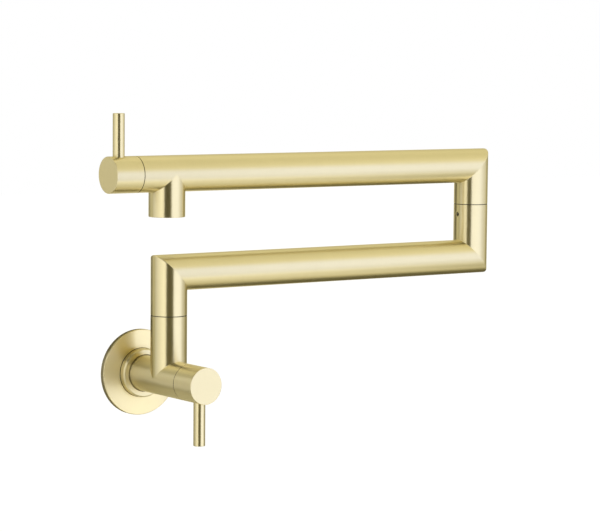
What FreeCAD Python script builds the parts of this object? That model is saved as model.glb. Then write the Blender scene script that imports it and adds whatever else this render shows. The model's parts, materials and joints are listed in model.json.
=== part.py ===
# Wall mounted pot filler: two folding arms with a quarter-turn valve at the wall and one at the spout.
#
# Millimetres.  The origin lies on the wall, on the axis of the wall valve.  +X runs along the wall to
# the right, +Y into the wall and +Z up.  At rest the arms are folded flat along the wall.
import FreeCAD, Part
import Sketcher
import math
import os
import re
from collections import namedtuple

# ---- driving dimensions ---------------------------------------------------------------------------

DIMENSIONS = {
    # overall layout
    "tube_outer": (25.0, "outer diameter of the arms, valve bodies and handles"),
    "tube_wall": (1.5, "wall of the arm tubes"),
    "riser_offset": (40.4, "riser axis from the wall"),
    "lower_arm_height": (72.6, "lower arm axis above the wall valve axis"),
    "arm_spacing": (67.65, "upper arm axis above the lower arm axis"),
    "lower_arm_length": (264.7, "riser axis to post axis"),
    "upper_arm_reach": (266.6, "post axis to spout axis"),
    "riser_seam_height": (43.5, "riser seam above the wall valve axis"),
    "post_seam_height": (39.15, "post seam above the lower arm axis"),
    "wall_valve_nose": (25.8, "riser axis to the wall handle seam"),
    "spout_valve_nose": (25.0, "spout axis to the spout handle seam"),
    "spout_drop": (29.3, "spout mouth below the upper arm axis"),
    "spout_valve_tail": (17.0, "spout axis to the joint with the arm tube"),
    "tail_spigot": (5.0, "length of the valve body inside the arm tube"),
    "edge_break": (0.3, "chamfer on outer edges"),
    "braze_clearance": (0.02, "radial clearance of brazed sleeves"),
    # cover plate on the wall
    "flange_diameter": (60.0, "cover plate"),
    "flange_rim": (4.0, "cover plate thickness at the rim"),
    "flange_face": (4.5, "cover plate thickness at the collar"),
    "flange_clearance": (0.25, "radial clearance of the plate round the valve body"),
    "flange_edge": (0.5, "chamfer on the plate's rim"),
    "collar_diameter": (34.0, "collar on the plate"),
    "collar_front": (9.7, "collar front from the wall"),
    "collar_chamfer": (0.85, "chamfer on the collar's front edge"),
    "collar_mouth": (0.7, "chamfer in the collar's bore"),
    "collar_clearance": (0.15, "radial clearance of the collar round the valve body"),
    "collar_screw_height": (6.8, "collar set screw axis from the wall"),
    "gasket_room": (2.5, "radial room between the valve body and the gasket"),
    "gasket_outer": (52.0, "gasket outer diameter"),
    "gasket_thickness": (2.0, "gasket thickness"),
    "gasket_clearance": (0.3, "radial clearance between the gasket and the plate"),
    # inlet
    "body_back": (1.0, "back of the wall valve body from the wall"),
    "inlet_thread": (20.955, "major diameter of the G 1/2 inlet thread"),
    "inlet_reach": (16.0, "threaded length inside the wall"),
    "inlet_neck": (1.5, "length of the neck between the two threads"),
    "inlet_neck_cut": (1.0, "depth of that neck"),
    "inlet_grip": (12.0, "threaded length inside the valve body"),
    "inlet_bore": (12.0, "waterway diameter"),
    "inlet_key": (13.0, "hexagon across flats in the nipple"),
    "inlet_key_depth": (8.0, "depth of that hexagon"),
    "inlet_washer": (1.5, "washer thickness"),
    "thread_clearance": (0.05, "radial clearance of threads"),
    # swivels
    "socket_bore": (16.0, "bore of the swivel sockets"),
    "swivel_clearance": (0.05, "radial running clearance of the spigots"),
    "spigot_bore": (10.0, "waterway through the spigots"),
    "spigot_length": (20.0, "spigot below the seam"),
    "spigot_head": (9.0, "spigot above the seam, brazed in the tube"),
    "spigot_lead": (0.6, "chamfer on the spigot's end"),
    "socket_spare": (1.2, "socket depth beyond the spigot"),
    "socket_sleeve": (24.0, "length of the sleeve in the post"),
    "swivel_gap": (0.5, "height of the swivel seams"),
    "slip_washer": (0.4, "slip washer thickness"),
    "slip_washer_inset": (0.35, "slip washer inside the outer surface"),
    "seam_break": (0.2, "chamfer beside the seams"),
    "branch_bore": (9.0, "waterway from the riser socket to the cartridge"),
    "o_ring_upper": (12.4, "upper O-ring below the seam"),
    "o_ring_lower": (16.4, "lower O-ring below the seam"),
    "o_ring_groove_width": (2.0, "width of the spigot's O-ring grooves"),
    "o_ring_groove_depth": (1.6, "depth of the spigot's O-ring grooves"),
    "o_ring_play": (0.03, "gap between an O-ring and the bore it slides in"),
    "screw_drop": (7.5, "set screw axis below the seam"),
    "screw_diameter": (3.0, "set screw thread"),
    "screw_sink": (0.6, "set screw head under the surface"),
    "screw_key": (1.5, "set screw hexagon across flats"),
    "screw_key_depth": (1.5, "depth of that hexagon"),
    "dog_diameter": (2.0, "set screw point"),
    "dog_play": (0.3, "play of the point in the spigot's groove"),
    "screw_groove_depth": (1.2, "depth of the groove that holds the spigot"),
    # cartridge, measured from the handle seam
    "cartridge_length": (28.0, "seam to the cartridge's inlet end"),
    "cartridge_seat": (30.5, "seam to the seat in the valve body"),
    "sleeve_outer": (17.6, "cartridge sleeve diameter"),
    "sleeve_room": (1.2, "water gap round the sleeve"),
    "cartridge_thread": (20.4, "cartridge thread diameter"),
    "cartridge_thread_length": (14.0, "seam to the end of that thread"),
    "head_flange": (22.4, "cartridge head flange diameter"),
    "head_flange_top": (1.0, "top of the head flange above the seam"),
    "head_key": (19.0, "cartridge head across flats"),
    "head_top": (5.0, "top of the head above the seam"),
    "chamber_bore": (15.2, "bore round the discs"),
    "chamber_top": (12.0, "seam to the shoulder that holds the spindle"),
    "window_width": (8.0, "outlet window across the sleeve"),
    "window_far": (19.8, "seam to the window's far edge"),
    "window_near": (14.8, "seam to the window's near edge"),
    "head_groove_near": (0.7, "seam to the near side of the head O-ring's groove"),
    "head_groove_width": (1.9, "width of that groove"),
    "head_groove_depth": (1.6, "depth of that groove"),
    "seal_recess": (1.0, "fixed disc inside the sleeve's end"),
    "seal_inner": (11.8, "bore of the seat seal"),
    "disc_diameter": (15.0, "ceramic discs"),
    "disc_thickness": (3.0, "ceramic discs"),
    "disc_gap": (0.05, "gap between the discs"),
    "disc_hole": (4.4, "waterways through the discs"),
    "disc_hole_offset": (4.4, "disc axis to a waterway's axis"),
    "key_depth": (1.5, "slot in the moving disc"),
    "key_width": (3.6, "slot in the moving disc"),
    "key_clearance": (0.1, "clearance of the spindle's key in the slot"),
    "key_span": (12.8, "length of the spindle's key"),
    "stem_diameter": (8.0, "spindle stem"),
    "stem_clearance": (0.05, "radial running clearance of the stem"),
    "thrust_diameter": (14.4, "spindle's thrust collar"),
    "thrust_height": (2.0, "height of that collar"),
    "thrust_play": (0.1, "end play of the spindle"),
    "key_top": (17.0, "seam to the top of the spindle's key"),
    "stem_tip": (17.0, "spindle tip above the seam"),
    "stem_lead": (0.5, "chamfer on the spindle's tip"),
    "stem_flat": (0.8, "depth of the flat for the grub screw"),
    "stem_groove_level": (6.0, "seam to the stem O-ring"),
    "stem_groove_width": (1.6, "width of the stem's O-ring groove"),
    "stem_groove_depth": (1.1, "depth of the stem's O-ring groove"),
    "stop_height": (1.4, "height of the stop rim and the stop ring"),
    "stop_play": (0.1, "stop ring above the head"),
    "stop_ring_outer": (11.4, "stop ring diameter"),
    "stop_lug_outer": (16.8, "stop lug reach, as a diameter"),
    "stop_rim_inner": (12.4, "inside of the stop rim"),
    "stop_rim_outer": (17.4, "outside of the stop rim"),
    "stop_lug_angle": (28.0, "angle that the stop lug fills, in degrees"),
    "stop_slack": (2.0, "angle left beyond each stop, in degrees"),
    "valve_travel": (90.0, "quarter turn of the lever, in degrees"),
    "clip_gap": (0.1, "spindle clip above the stop ring"),
    "clip_height": (0.7, "spindle clip thickness"),
    "clip_depth": (0.6, "depth of the clip's groove"),
    "clip_outer": (10.6, "spindle clip diameter"),
    "clip_angle": (300.0, "angle that the clip covers, in degrees"),
    "clip_clearance": (0.05, "clearance of the clip in its groove"),
    # handle
    "handle_length": (21.4, "handle, seam to end face"),
    "handle_gap": (0.4, "width of the handle seams"),
    "handle_room": (0.3, "radial room between the cartridge's head and the handle"),
    "handle_recess": (8.5, "seam to the floor of the handle's recess"),
    "handle_bore_spare": (0.3, "handle bore beyond the spindle's tip"),
    "handle_bore_clearance": (0.03, "radial clearance of the handle on the spindle"),
    "lever_inset": (8.2, "end face to the lever axis"),
    "lever_diameter": (8.0, "lever pin"),
    "lever_reach": (41.25, "handle axis to the lever's tip"),
    "lever_seat": (1.2, "depth of the lever's counterbore"),
    "lever_seat_clearance": (0.05, "radial clearance of that counterbore"),
    "lever_stud": (5.0, "thread of the lever and the grub screw"),
    "lever_stud_length": (3.0, "length of the lever's thread"),
    "grub_room": (0.5, "gap between the grub screw and the lever's thread"),
    "grub_key": (2.5, "grub screw hexagon across flats"),
    "grub_key_depth": (2.0, "depth of that hexagon"),
    # spout mouth
    "aerator_thread": (20.6, "aerator housing diameter"),
    "aerator_wall": (1.4, "wall of the aerator housing"),
    "aerator_sink": (0.6, "aerator above the spout's mouth"),
    "aerator_height": (9.4, "aerator housing height"),
    "aerator_notch": (3.0, "width of the four key notches"),
    "aerator_notch_depth": (1.2, "depth of the key notches"),
    "insert_sink": (1.4, "aerator insert above the spout's mouth"),
    "insert_height": (7.0, "aerator insert height"),
    "insert_hole": (1.8, "holes through the insert"),
    "insert_inner_row": (3.4, "axis to the inner row of holes"),
    "insert_outer_row": (6.5, "axis to the outer row of holes"),
    "aerator_washer": (2.0, "aerator washer thickness"),
}

DERIVED = {
    "tube_radius": "tube_outer / 2",
    "tube_bore": "tube_radius - tube_wall",
    "braze_radius": "tube_bore - braze_clearance",
    "upper_arm_height": "lower_arm_height + arm_spacing",
    "post_seam_level": "lower_arm_height + post_seam_height",
    "spout_x": "lower_arm_length - upper_arm_reach",
    "body_length": "riser_offset + wall_valve_nose - body_back",
    "spout_body_length": "spout_valve_nose + spout_valve_tail",
    "handle_half_gap": "handle_gap / 2",
    "swivel_half_gap": "swivel_gap / 2",
    "socket_radius": "socket_bore / 2",
    "spigot_radius": "socket_radius - swivel_clearance",
    "screw_groove_radius": "spigot_radius - screw_groove_depth",
    "o_ring_floor": "spigot_radius - o_ring_groove_depth",
    "cavity_radius": "sleeve_outer / 2 + sleeve_room",
    "cartridge_radius": "cartridge_thread / 2",
    "fixed_disc_base": "cartridge_length - seal_recess",
    "moving_disc_base": "fixed_disc_base - disc_thickness - disc_gap",
    "moving_disc_top": "moving_disc_base - disc_thickness",
    "stem_radius": "stem_diameter / 2",
    "stem_bore": "stem_radius + stem_clearance",
    "thrust_top": "chamber_top + thrust_play",
    "stop_base": "head_top + stop_play",
    "stop_top": "head_top + stop_height",
    "clip_base": "stop_top + clip_gap",
    "handle_bore": "stem_radius + handle_bore_clearance",
    "lever_level": "handle_length - lever_inset",
    "lever_seat_radius": "tube_radius - lever_seat",
    "flat_radius": "stem_radius - stem_flat",
}

# ---- the document and its spreadsheet ---------------------------------------------------------------

doc = FreeCAD.newDocument("pot_filler")
sheet = doc.addObject("Spreadsheet::Sheet", "dims")
for row, (name, (value, note)) in enumerate(DIMENSIONS.items(), start=1):
    sheet.set(f"A{row}", name)
    sheet.set(f"B{row}", str(value))
    sheet.set(f"C{row}", note)
    sheet.setAlias(f"B{row}", name)
for row, (name, formula) in enumerate(DERIVED.items(), start=len(DIMENSIONS) + 1):
    sheet.set(f"A{row}", name)
    sheet.set(f"B{row}", "=" + formula)
    sheet.setAlias(f"B{row}", name)
doc.recompute()


def bound(formula):
    """The formula with every name in it pointed at its cell."""
    def cell(match):
        word = match.group(0)
        return "dims." + word if word in DIMENSIONS or word in DERIVED else word
    return re.sub(r"[a-z_]\w*", cell, formula)


def value_of(formula):
    """The formula's present value, in millimetres or degrees."""
    return float(sheet.evalExpression(bound(formula)))


# ---- places -----------------------------------------------------------------------------------------
# Each piece is drawn in a frame of its own: an origin, the way its x points and the way its z points.

UP, DOWN = (0, 0, 1), (0, 0, -1)
RIGHT, LEFT = (1, 0, 0), (-1, 0, 0)
INTO_WALL, OUT_OF_WALL = (0, 1, 0), (0, -1, 0)

Frame = namedtuple("Frame", "origin x_axis z_axis")
Valve = namedtuple("Valve", "name frame nose")

ON_WALL = Frame(("0", "0", "0"), UP, OUT_OF_WALL)
RISER_SEAM = Frame(("0", "-riser_offset", "riser_seam_height"), INTO_WALL, UP)
POST_SEAM = Frame(("lower_arm_length", "-riser_offset", "post_seam_level"), LEFT, UP)

# Both valves are drawn from their handle seam: z out through the handle, x towards riser or spout.
WALL_VALVE = Valve("wall", Frame(("0", "-riser_offset - wall_valve_nose", "0"), UP, OUT_OF_WALL),
                   "wall_valve_nose")
SPOUT_VALVE = Valve("spout", Frame(("spout_x - spout_valve_nose", "-riser_offset", "upper_arm_height"),
                                   DOWN, LEFT), "spout_valve_nose")
VALVES = (WALL_VALVE, SPOUT_VALVE)


def along(frame, distance, x_axis=None, z_axis=None):
    """The frame moved along its own z, and turned to new axes where they are given."""
    origin = []
    for start, direction in zip(frame.origin, frame.z_axis):
        step = {1: f" + ({distance})", -1: f" - ({distance})", 0: ""}[direction]
        origin.append(start + step)
    return Frame(tuple(origin), x_axis or frame.x_axis, z_axis or frame.z_axis)


def put(piece, frame):
    """Places an object by its frame, with its origin bound to the spreadsheet."""
    x_axis = FreeCAD.Vector(*frame.x_axis)
    z_axis = FreeCAD.Vector(*frame.z_axis)
    piece.Placement.Rotation = FreeCAD.Rotation(x_axis, z_axis.cross(x_axis), z_axis, "ZXY")
    for axis, formula in zip("xyz", frame.origin):
        piece.setExpression(f".Placement.Base.{axis}", bound(formula))


# ---- drawing ----------------------------------------------------------------------------------------

ORIGIN_POINT = (-1, 1)
X_AXIS, Y_AXIS = -1, -2
START, END, CENTRE = 1, 2, 3

pieces = []


def pin_point(sketch, geometry, point, place):
    """Fixes one point of a sketch at two formulas, measured from the sketch's origin."""
    for kind, formula, axis in (("DistanceX", place[0], Y_AXIS), ("DistanceY", place[1], X_AXIS)):
        if formula == "0":
            sketch.addConstraint(Sketcher.Constraint("PointOnObject", geometry, point, axis))
            continue
        constraint = Sketcher.Constraint(kind, *ORIGIN_POINT, geometry, point, value_of(formula))
        sketch.setExpression(f"Constraints[{sketch.addConstraint(constraint)}]", bound(formula))


def draw_polygon(sketch, corners):
    """A closed outline through corners that are pairs of formulas."""
    places = [FreeCAD.Vector(value_of(x), value_of(y), 0) for x, y in corners]
    first = sketch.GeometryCount
    count = len(corners)
    for index, place in enumerate(places):
        sketch.addGeometry(Part.LineSegment(place, places[(index + 1) % count]), False)
    for index in range(count):
        following = first + (index + 1) % count
        sketch.addConstraint(Sketcher.Constraint("Coincident", first + index, END, following, START))
    for index, corner in enumerate(corners):
        pin_point(sketch, first + index, START, corner)


def draw_circle(sketch, radius, centre=("0", "0")):
    middle = FreeCAD.Vector(value_of(centre[0]), value_of(centre[1]), 0)
    circle = sketch.addGeometry(Part.Circle(middle, FreeCAD.Vector(0, 0, 1), value_of(radius)), False)
    pin_point(sketch, circle, CENTRE, centre)
    constraint = sketch.addConstraint(Sketcher.Constraint("Radius", circle, value_of(radius)))
    sketch.setExpression(f"Constraints[{constraint}]", bound(radius))


def hexagon(across):
    """The corners of a hexagon, given across flats."""
    corner, half = f"({across}) / sqrt(3)", f"({across}) / 2"
    return [(corner, "0"), (f"{corner} / 2", half), (f"-{corner} / 2", half),
            (f"-{corner}", "0"), (f"-{corner} / 2", f"-{half}"), (f"{corner} / 2", f"-{half}")]


def rectangle(x_low, y_low, x_high, y_high):
    return [(x_low, y_low), (x_high, y_low), (x_high, y_high), (x_low, y_high)]


def grooved_wall(radius, grooves):
    """The outline up a round wall past grooves, each a level, a width and a floor radius."""
    outline = []
    for level, width, floor in grooves:
        low, high = f"{level} - ({width}) / 2", f"{level} + ({width}) / 2"
        outline += [(radius, low), (floor, low), (floor, high), (radius, high)]
    return outline


class Piece:
    """One separate piece: a body drawn in its own frame and put in its place."""

    def __init__(self, label, frame):
        self.body = doc.addObject("PartDesign::Body", label)
        self.body.Label = label
        put(self.body, frame)
        pieces.append(self.body)

    def sketch(self, role, offset="0", turn="0"):
        """A sketch on one of the body's planes, moved along its normal and turned about its own y."""
        sketch = self.body.newObject("Sketcher::SketchObject", "Sketch")
        plane = next(f for f in self.body.Origin.OriginFeatures if f.Role == role)
        sketch.AttachmentSupport = (plane, [""])
        sketch.MapMode = "FlatFace"
        if turn != "0":
            sketch.AttachmentOffset = FreeCAD.Placement(
                FreeCAD.Vector(), FreeCAD.Rotation(FreeCAD.Vector(0, 1, 0), 1))
            sketch.setExpression(".AttachmentOffset.Rotation.Angle", bound(turn))
        if offset != "0":
            sketch.setExpression(".AttachmentOffset.Base.z", bound(offset))
        return sketch

    def feature(self, kind, sketch, adds):
        """A feature of the sketch; finish() checks that it added or cut something."""
        feature = self.started(kind, adds)
        feature.Profile = sketch
        return feature

    def started(self, kind, adds):
        """A new feature, with a note of what it should do to the volume."""
        self.adds = adds
        self.before = 0.0 if self.body.Shape.isNull() else self.body.Shape.Volume
        return self.body.newObject("PartDesign::" + kind, kind)

    def finish(self, feature):
        """Recomputes, and stops if the feature left the volume as it was."""
        doc.recompute()
        change = feature.Shape.Volume - self.before
        if (change if self.adds else -change) <= 0:
            raise RuntimeError(f"{self.body.Label}: {feature.Name} changes nothing")
        return self

    def turned(self, outline, kind="Revolution", start="0", sweep="360"):
        """Turns an outline of radius and height round the piece's z axis."""
        sketch = self.sketch("XZ_Plane", turn=start)
        draw_polygon(sketch, outline)
        feature = self.feature(kind, sketch, adds=kind == "Revolution")
        feature.ReferenceAxis = (sketch, ["V_Axis"])
        feature.setExpression("Angle", bound(sweep))
        return self.finish(feature)

    def bored(self, outline):
        """Cuts a turned outline out of the piece."""
        return self.turned(outline, kind="Groove")

    def raised(self, role, base, length, draw):
        """Pads what draw(sketch) draws, from its base along the plane's normal."""
        sketch = self.sketch(role, base)
        draw(sketch)
        feature = self.feature("Pad", sketch, adds=True)
        feature.setExpression("Length", bound(length))
        return self.finish(feature)

    def sunk(self, role, start, depth, draw, forward=False):
        """Cuts what draw(sketch) draws: against the plane's normal, or forward along it."""
        sketch = self.sketch(role, start)
        draw(sketch)
        feature = self.feature("Pocket", sketch, adds=False)
        feature.Reversed = forward
        feature.setExpression("Length", bound(depth))
        return self.finish(feature)

    def cut_across(self, role, outline):
        """Cuts an outline through the whole piece, to both sides of the plane."""
        sketch = self.sketch(role)
        draw_polygon(sketch, outline)
        feature = self.feature("Pocket", sketch, adds=False)
        feature.Type = "ThroughAll"
        feature.Midplane = True
        return self.finish(feature)

    def repeated(self, count):
        """Repeats the last cut round the piece's z axis."""
        last = self.body.Tip
        pattern = self.started("PolarPattern", adds=False)
        pattern.Originals = [last]
        pattern.Axis = (last.Profile[0], ["N_Axis"])
        pattern.Angle = 360
        pattern.Occurrences = count
        self.body.Tip = pattern
        return self.finish(pattern)

    def chamfered(self, size, wanted):
        """Chamfers the edges that wanted(edge) picks."""
        last = self.body.Tip
        names = [f"Edge{number}" for number, edge in enumerate(last.Shape.Edges, start=1) if wanted(edge)]
        if not names:
            raise RuntimeError(f"{self.body.Label}: no edge to chamfer")
        feature = self.started("Chamfer", adds=False)
        feature.Base = (last, names)
        feature.setExpression("Size", bound(size))
        self.body.Tip = feature
        return self.finish(feature)


def circle_at(radius, axis, level):
    """Tells whether an edge is a full circle of a radius whose centre lies at a level on an axis."""
    def wanted(edge):
        return (isinstance(edge.Curve, Part.Circle)
                and math.isclose(edge.Curve.Radius, value_of(radius), abs_tol=1e-6)
                and math.isclose(getattr(edge.Curve.Center, axis), value_of(level), abs_tol=1e-6))
    return wanted


def o_ring(label, frame, floor, reach):
    """A round rubber ring that fills the space from a groove's floor to a reach."""
    ring = doc.addObject("Part::Torus", label)
    ring.Label = label
    ring.setExpression("Radius1", bound(f"({floor} + {reach}) / 2"))
    ring.setExpression("Radius2", bound(f"({reach} - ({floor})) / 2"))
    put(ring, frame)
    pieces.append(ring)


def set_screw(label, frame, tip, shoulder, head):
    """A set screw with a plain point; the three levels are measured from the frame's origin."""
    radius, point = "screw_diameter / 2", "dog_diameter / 2"
    outline = [("0", tip), (point, tip), (point, shoulder), (radius, shoulder), (radius, head), ("0", head)]
    screw = Piece(label, frame).turned(outline)
    screw.sunk("XY_Plane", head, "screw_key_depth", lambda s: draw_polygon(s, hexagon("screw_key")))


# ---- cover plate and inlet --------------------------------------------------------------------------

def wall_cover():
    bore = "tube_radius + flange_clearance"
    seat = "gasket_outer / 2 + gasket_clearance"
    rim = "flange_diameter / 2"
    Piece("wall_flange", ON_WALL).turned([
        (bore, "gasket_thickness"), (seat, "gasket_thickness"), (seat, "0"), (rim, "0"),
        (rim, "flange_rim - flange_edge"), (f"{rim} - flange_edge", "flange_rim"),
        ("collar_diameter / 2", "flange_face"), (bore, "flange_face")])
    Piece("flange_gasket", ON_WALL).turned(rectangle(
        "tube_radius + gasket_room", "0", "gasket_outer / 2", "gasket_thickness"))

    bore = "tube_radius + collar_clearance"
    side = "collar_diameter / 2"
    collar = Piece("flange_collar", ON_WALL).turned([
        (bore, "flange_face"), (f"{side} - seam_break", "flange_face"),
        (side, "flange_face + seam_break"), (side, "collar_front - collar_chamfer"),
        (f"{side} - collar_chamfer", "collar_front"), (f"{bore} + collar_mouth", "collar_front"),
        (bore, "collar_front - collar_mouth")])
    collar.sunk("YZ_Plane", "0", "collar_diameter", lambda s: draw_circle(
        s, "screw_diameter / 2 + thread_clearance", ("0", "collar_screw_height")))
    set_screw("flange_set_screw", along(ON_WALL, "collar_screw_height", OUT_OF_WALL, DOWN),
              "tube_radius", f"{bore} + dog_play", f"{side} - screw_sink")


def inlet():
    thread = "inlet_thread / 2"
    neck = f"{thread} - inlet_neck_cut"
    end = "inlet_neck + inlet_grip"
    water = "inlet_bore / 2"
    nipple = Piece("inlet_nipple", ON_WALL).turned([
        (water, "-inlet_reach"), (f"{thread} - edge_break", "-inlet_reach"),
        (thread, "-inlet_reach + edge_break"), (thread, "0"), (neck, "0"), (neck, "inlet_neck"),
        (thread, "inlet_neck"), (thread, end), (water, end)])
    nipple.sunk("XY_Plane", end, "inlet_key_depth", lambda s: draw_polygon(s, hexagon("inlet_key")))
    Piece("inlet_washer", ON_WALL).turned(rectangle(water, end, thread, f"{end} + inlet_washer"))


# ---- valve bodies -----------------------------------------------------------------------------------

def cavity(water, back):
    """Outline of the space for a cartridge, down to the waterway behind it."""
    return [("0", back), (water, back), (water, "-cartridge_seat"), ("cavity_radius", "-cartridge_seat"),
            ("cavity_radius", "-cartridge_thread_length"),
            ("cartridge_radius + thread_clearance", "-cartridge_thread_length"),
            ("cartridge_radius + thread_clearance", "-handle_half_gap"), ("0", "-handle_half_gap")]


def tee(label, valve, tail, branch_length):
    """The outside of a valve body: a round bar along z with an equal branch along x."""
    front = [("tube_radius", "-handle_half_gap - seam_break"),
             ("tube_radius - seam_break", "-handle_half_gap"), ("0", "-handle_half_gap")]
    piece = Piece(label, valve.frame).turned(tail + front)
    piece.raised("YZ_Plane", "0", branch_length,
                 lambda s: draw_circle(s, "tube_radius", ("0", f"-{valve.nose}")))
    return piece


def wall_valve_body():
    """Carries the wall cartridge and, on its branch, the socket that the lower arm turns in."""
    valve = WALL_VALVE
    branch = "riser_seam_height - swivel_half_gap"
    axis = ("0", f"-{valve.nose}")
    body = tee("wall_valve_body", valve, [("0", "-body_length"), ("tube_radius", "-body_length")], branch)
    body.bored(cavity("inlet_bore / 2", "-body_length"))
    thread = "inlet_thread / 2 + thread_clearance"
    depth = "-body_length + inlet_neck - body_back + inlet_grip + inlet_washer"
    body.bored(rectangle("0", "-body_length", thread, depth))
    body.sunk("YZ_Plane", branch, "spigot_length + socket_spare",
              lambda s: draw_circle(s, "socket_radius", axis))
    body.sunk("YZ_Plane", branch, branch, lambda s: draw_circle(s, "branch_bore / 2", axis))
    body.sunk("XY_Plane", f"-{valve.nose}", "tube_outer", lambda s: draw_circle(
        s, "screw_diameter / 2 + thread_clearance", ("riser_seam_height - screw_drop", "0")))
    body.chamfered("seam_break", circle_at("tube_radius", "x", branch))


def spout_valve_body():
    """Closes the upper arm's end: the second cartridge, and the spout as its branch."""
    valve = SPOUT_VALVE
    axis = ("0", f"-{valve.nose}")
    back = "-spout_body_length - tail_spigot"
    tail = [("0", back), ("braze_radius", back), ("braze_radius", "-spout_body_length"),
            ("tube_radius", "-spout_body_length")]
    body = tee("spout_valve_body", valve, tail, "spout_drop")
    body.bored(cavity("inlet_bore / 2", back))
    body.sunk("YZ_Plane", "spout_drop", "aerator_sink + aerator_height + aerator_washer",
              lambda s: draw_circle(s, "aerator_thread / 2 + thread_clearance", axis))
    body.sunk("YZ_Plane", "spout_drop", "spout_drop", lambda s: draw_circle(s, "inlet_bore / 2", axis))
    body.chamfered("edge_break", circle_at("tube_radius", "x", "spout_drop"))


def aerator():
    mouth = Frame(("spout_x", "-riser_offset", "upper_arm_height - spout_drop"), RIGHT, UP)
    outer = "aerator_thread / 2"
    inner = f"{outer} - aerator_wall"
    top = "aerator_sink + aerator_height"
    housing = Piece("aerator_housing", mouth).turned(rectangle(inner, "aerator_sink", outer, top))
    for notch in (rectangle("-aerator_thread", "-aerator_notch / 2", "aerator_thread", "aerator_notch / 2"),
                  rectangle("-aerator_notch / 2", "-aerator_thread", "aerator_notch / 2",
                            "aerator_thread")):
        housing.sunk("XY_Plane", "aerator_sink", "aerator_notch_depth",
                     lambda s, outline=notch: draw_polygon(s, outline), forward=True)
    Piece("aerator_washer", mouth).turned(rectangle(
        f"{inner} - aerator_wall", top, outer, f"{top} + aerator_washer"))

    insert = Piece("aerator_insert", mouth)
    insert.turned(rectangle("0", "insert_sink", f"{inner} - thread_clearance",
                            "insert_sink + insert_height"))
    hole = "insert_hole / 2"
    insert.sunk("XY_Plane", "insert_sink", "insert_height", lambda s: draw_circle(s, hole), forward=True)
    for row, count in (("insert_inner_row", 6), ("insert_outer_row", 12)):
        insert.sunk("XY_Plane", "insert_sink", "insert_height",
                    lambda s, radius=row: draw_circle(s, hole, (radius, "0")), forward=True)
        insert.repeated(count)


# ---- quarter-turn cartridge -------------------------------------------------------------------------

def cartridge_fixed(valve):
    """The half that stays: housing, fixed disc and two seals."""
    name, frame = valve.name, valve.frame
    sleeve, chamber = "sleeve_outer / 2", "chamber_bore / 2"
    groove_floor = "cartridge_radius - head_groove_depth"
    groove_level = "(head_groove_near + head_groove_width / 2)"
    housing = Piece(f"{name}_cartridge_housing", frame).turned(
        [(chamber, "-cartridge_length"), (sleeve, "-cartridge_length"),
         (sleeve, "-cartridge_thread_length"), ("cartridge_radius", "-cartridge_thread_length")]
        + grooved_wall("cartridge_radius", [("-" + groove_level, "head_groove_width", groove_floor)])
        + [("cartridge_radius", "-handle_half_gap"), ("head_flange / 2", "-handle_half_gap"),
           ("head_flange / 2", "head_flange_top"), ("stem_bore", "head_flange_top"),
           ("stem_bore", "-chamber_top"), (chamber, "-chamber_top")])

    def head(sketch):
        draw_polygon(sketch, hexagon("head_key"))
        draw_circle(sketch, "stem_bore")

    housing.raised("XY_Plane", "head_flange_top", "head_top - head_flange_top", head)
    half = "stop_lug_angle / 2 + stop_slack"
    housing.turned(rectangle("stop_rim_inner / 2", "head_top", "stop_rim_outer / 2", "stop_top"),
                   start=f"valve_travel + {half}",
                   sweep=f"360 - valve_travel - 2 * ({half})")
    housing.cut_across("YZ_Plane", rectangle(
        "-window_width / 2", "-window_far", "window_width / 2", "-window_near"))

    disc = Piece(f"{name}_fixed_disc", frame).raised(
        "XY_Plane", "-fixed_disc_base", "disc_thickness", lambda s: draw_circle(s, "disc_diameter / 2"))
    disc.sunk("XY_Plane", "-fixed_disc_base", "disc_thickness",
              lambda s: draw_circle(s, "disc_hole / 2", ("disc_hole_offset", "0")), forward=True)
    disc.repeated(2)
    Piece(f"{name}_seat_seal", frame).turned(rectangle(
        "seal_inner / 2", "-cartridge_seat", "disc_diameter / 2", "-fixed_disc_base"))
    o_ring(f"{name}_head_o_ring", along(frame, f"-{groove_level}"), groove_floor, "cartridge_radius")


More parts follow.
